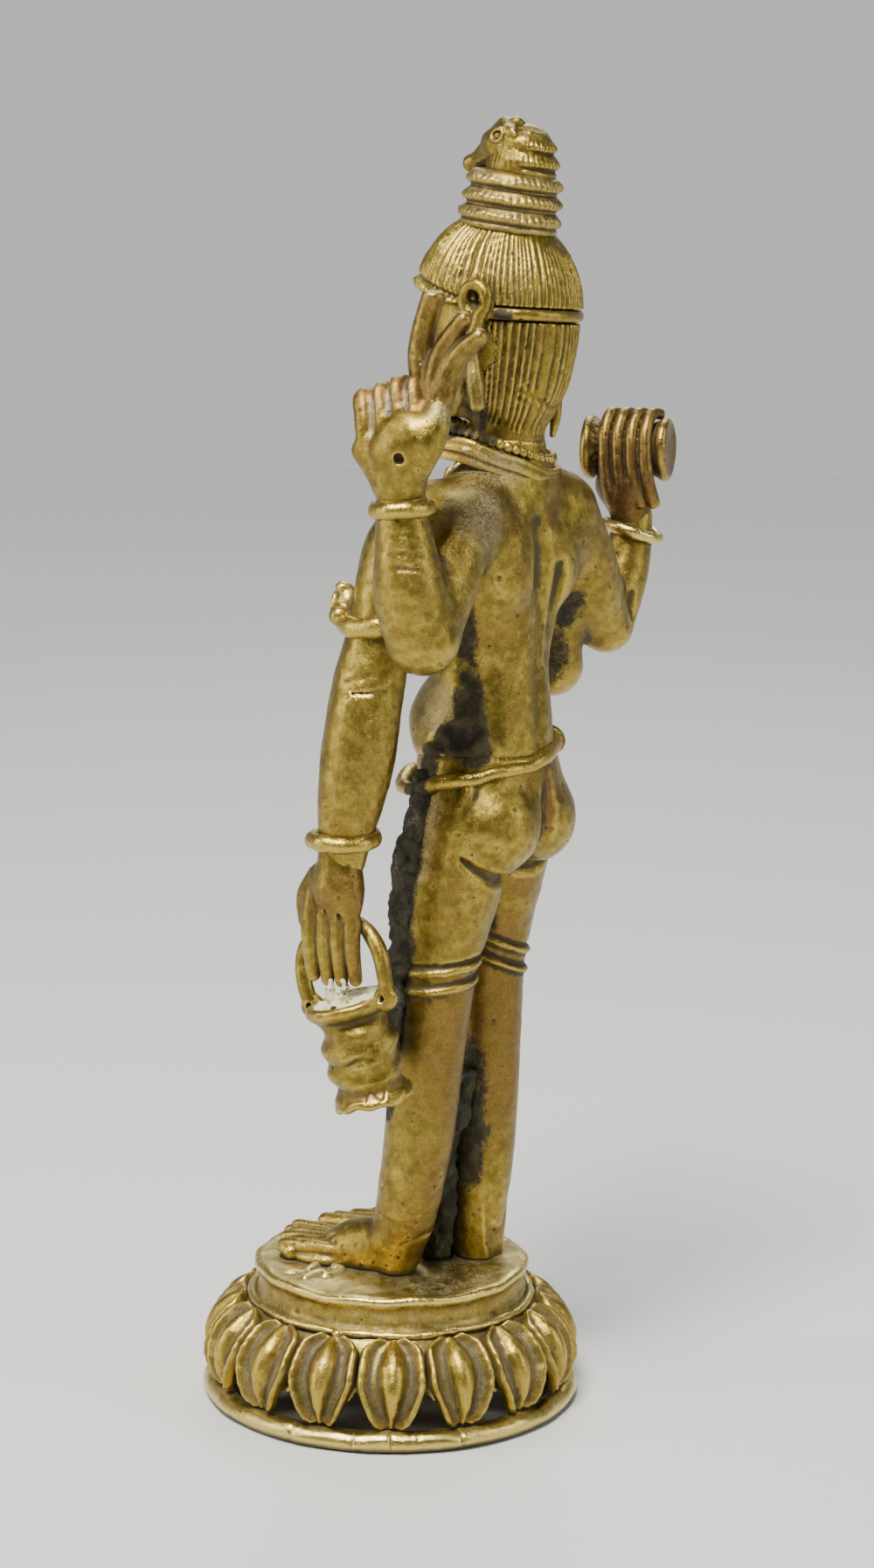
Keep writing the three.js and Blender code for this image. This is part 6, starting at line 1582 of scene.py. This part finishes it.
world = bpy.data.worlds.new("studio")
bpy.context.scene.world = world
world.use_nodes = True
wt = world.node_tree
wt.nodes.clear()
tc = wt.nodes.new("ShaderNodeTexCoord")
sep = wt.nodes.new("ShaderNodeSeparateXYZ")
wt.links.new(tc.outputs["Generated"], sep.inputs[0])
ramp = wt.nodes.new("ShaderNodeValToRGB")
wt.links.new(sep.outputs["Z"], ramp.inputs[0])
ramp.color_ramp.elements[0].position, ramp.color_ramp.elements[0].color = 0.13, (0.86, 0.86, 0.85, 1)
ramp.color_ramp.elements[1].position, ramp.color_ramp.elements[1].color = 0.30, (0.30, 0.31, 0.32, 1)
bg = wt.nodes.new("ShaderNodeBackground")
back = wt.nodes.new("ShaderNodeVectorMath")
back.operation = "DOT_PRODUCT"
back.inputs[1].default_value = (-math.sin(math.radians(127)), math.cos(math.radians(127)), 0)
wt.links.new(tc.outputs["Generated"], back.inputs[0])
dim = wt.nodes.new("ShaderNodeMapRange")
dim.interpolation_type = "SMOOTHSTEP"
for key, v in (("From Min", -0.1), ("From Max", 0.8), ("To Min", 0.30), ("To Max", 1.0)):
    dim.inputs[key].default_value = v
wt.links.new(back.outputs["Value"], dim.inputs["Value"])
sheet = wt.nodes.new("ShaderNodeVectorMath")
sheet.operation = "SCALE"
wt.links.new(ramp.outputs[0], sheet.inputs[0])
wt.links.new(dim.outputs[0], sheet.inputs["Scale"])
wt.links.new(sheet.outputs[0], bg.inputs[0])
bg.inputs[1].default_value = 0.70
wo = wt.nodes.new("ShaderNodeOutputWorld")
wt.links.new(bg.outputs[0], wo.inputs[0])

# camera, in the base's own millimetres
A, H, ZC, PITCH, YAW, ROLL, FPX = math.radians(127), 327.7252, 125.0165, 0.1549986, -0.0143559, 0.0132681, 3234.8735
fh = vec(-math.sin(A + YAW), math.cos(A + YAW), 0)
fwd = fh * math.cos(PITCH) - vec(0, 0, 1) * math.sin(PITCH)
rt = vec(math.cos(A + YAW), math.sin(A + YAW), 0)
upv = np.cross(rt, fwd)
RIGHT = rt * math.cos(ROLL) + upv * math.sin(ROLL)
UP = -rt * math.sin(ROLL) + upv * math.cos(ROLL)
C = vec(math.sin(A) * H, -math.cos(A) * H, ZC)
cam_data = bpy.data.cameras.new("view")
cam = bpy.data.objects.new("view", cam_data)
bpy.context.scene.collection.objects.link(cam)
M = Matrix(np.column_stack([RIGHT, UP, -fwd]).tolist()).to_4x4()
M.translation = Vector((C + G) / 1000)
cam.matrix_world = M
cam_data.sensor_width = 36
cam_data.lens = FPX / 1794 * 36
cam_data.clip_start = 0.01
cam_data.clip_end = 20
bpy.context.scene.camera = cam

target = Vector((G + vec(0, 8, 78)) / 1000)


def area(name, offset, size, watts, color=(1, 1, 1)):
    d = bpy.data.lights.new(name, "AREA")
    d.shape = "RECTANGLE"
    d.size, d.size_y = size
    d.energy = watts
    d.color = color
    o = bpy.data.objects.new(name, d)
    bpy.context.scene.collection.objects.link(o)
    o.location = target + Vector(offset)
    o.rotation_mode = "QUATERNION"
    o.rotation_quaternion = (target - o.location).to_track_quat("-Z", "Y")


toward, side = vec(math.sin(A), -math.cos(A), 0), vec(math.cos(A), math.sin(A), 0)
area("key", tuple(0.40 * toward - 0.16 * side + vec(0, 0, 0.72)), (0.30, 0.30), 17.5, (1.0, 0.98, 0.93))
area("left", tuple(0.15 * toward - 0.65 * side + vec(0, 0, 0.22)), (0.12, 0.5), 2.4, (1.0, 0.98, 0.95))
area("right", tuple(0.25 * toward + 0.66 * side + vec(0, 0, 0.30)), (0.12, 0.5), 1.9, (0.97, 0.99, 1.0))
area("rear", tuple(-0.60 * toward + 0.10 * side + vec(0, 0, 0.62)), (0.5, 0.3), 4.0, (1, 1, 1))

print("vertices", vertex_total[0])
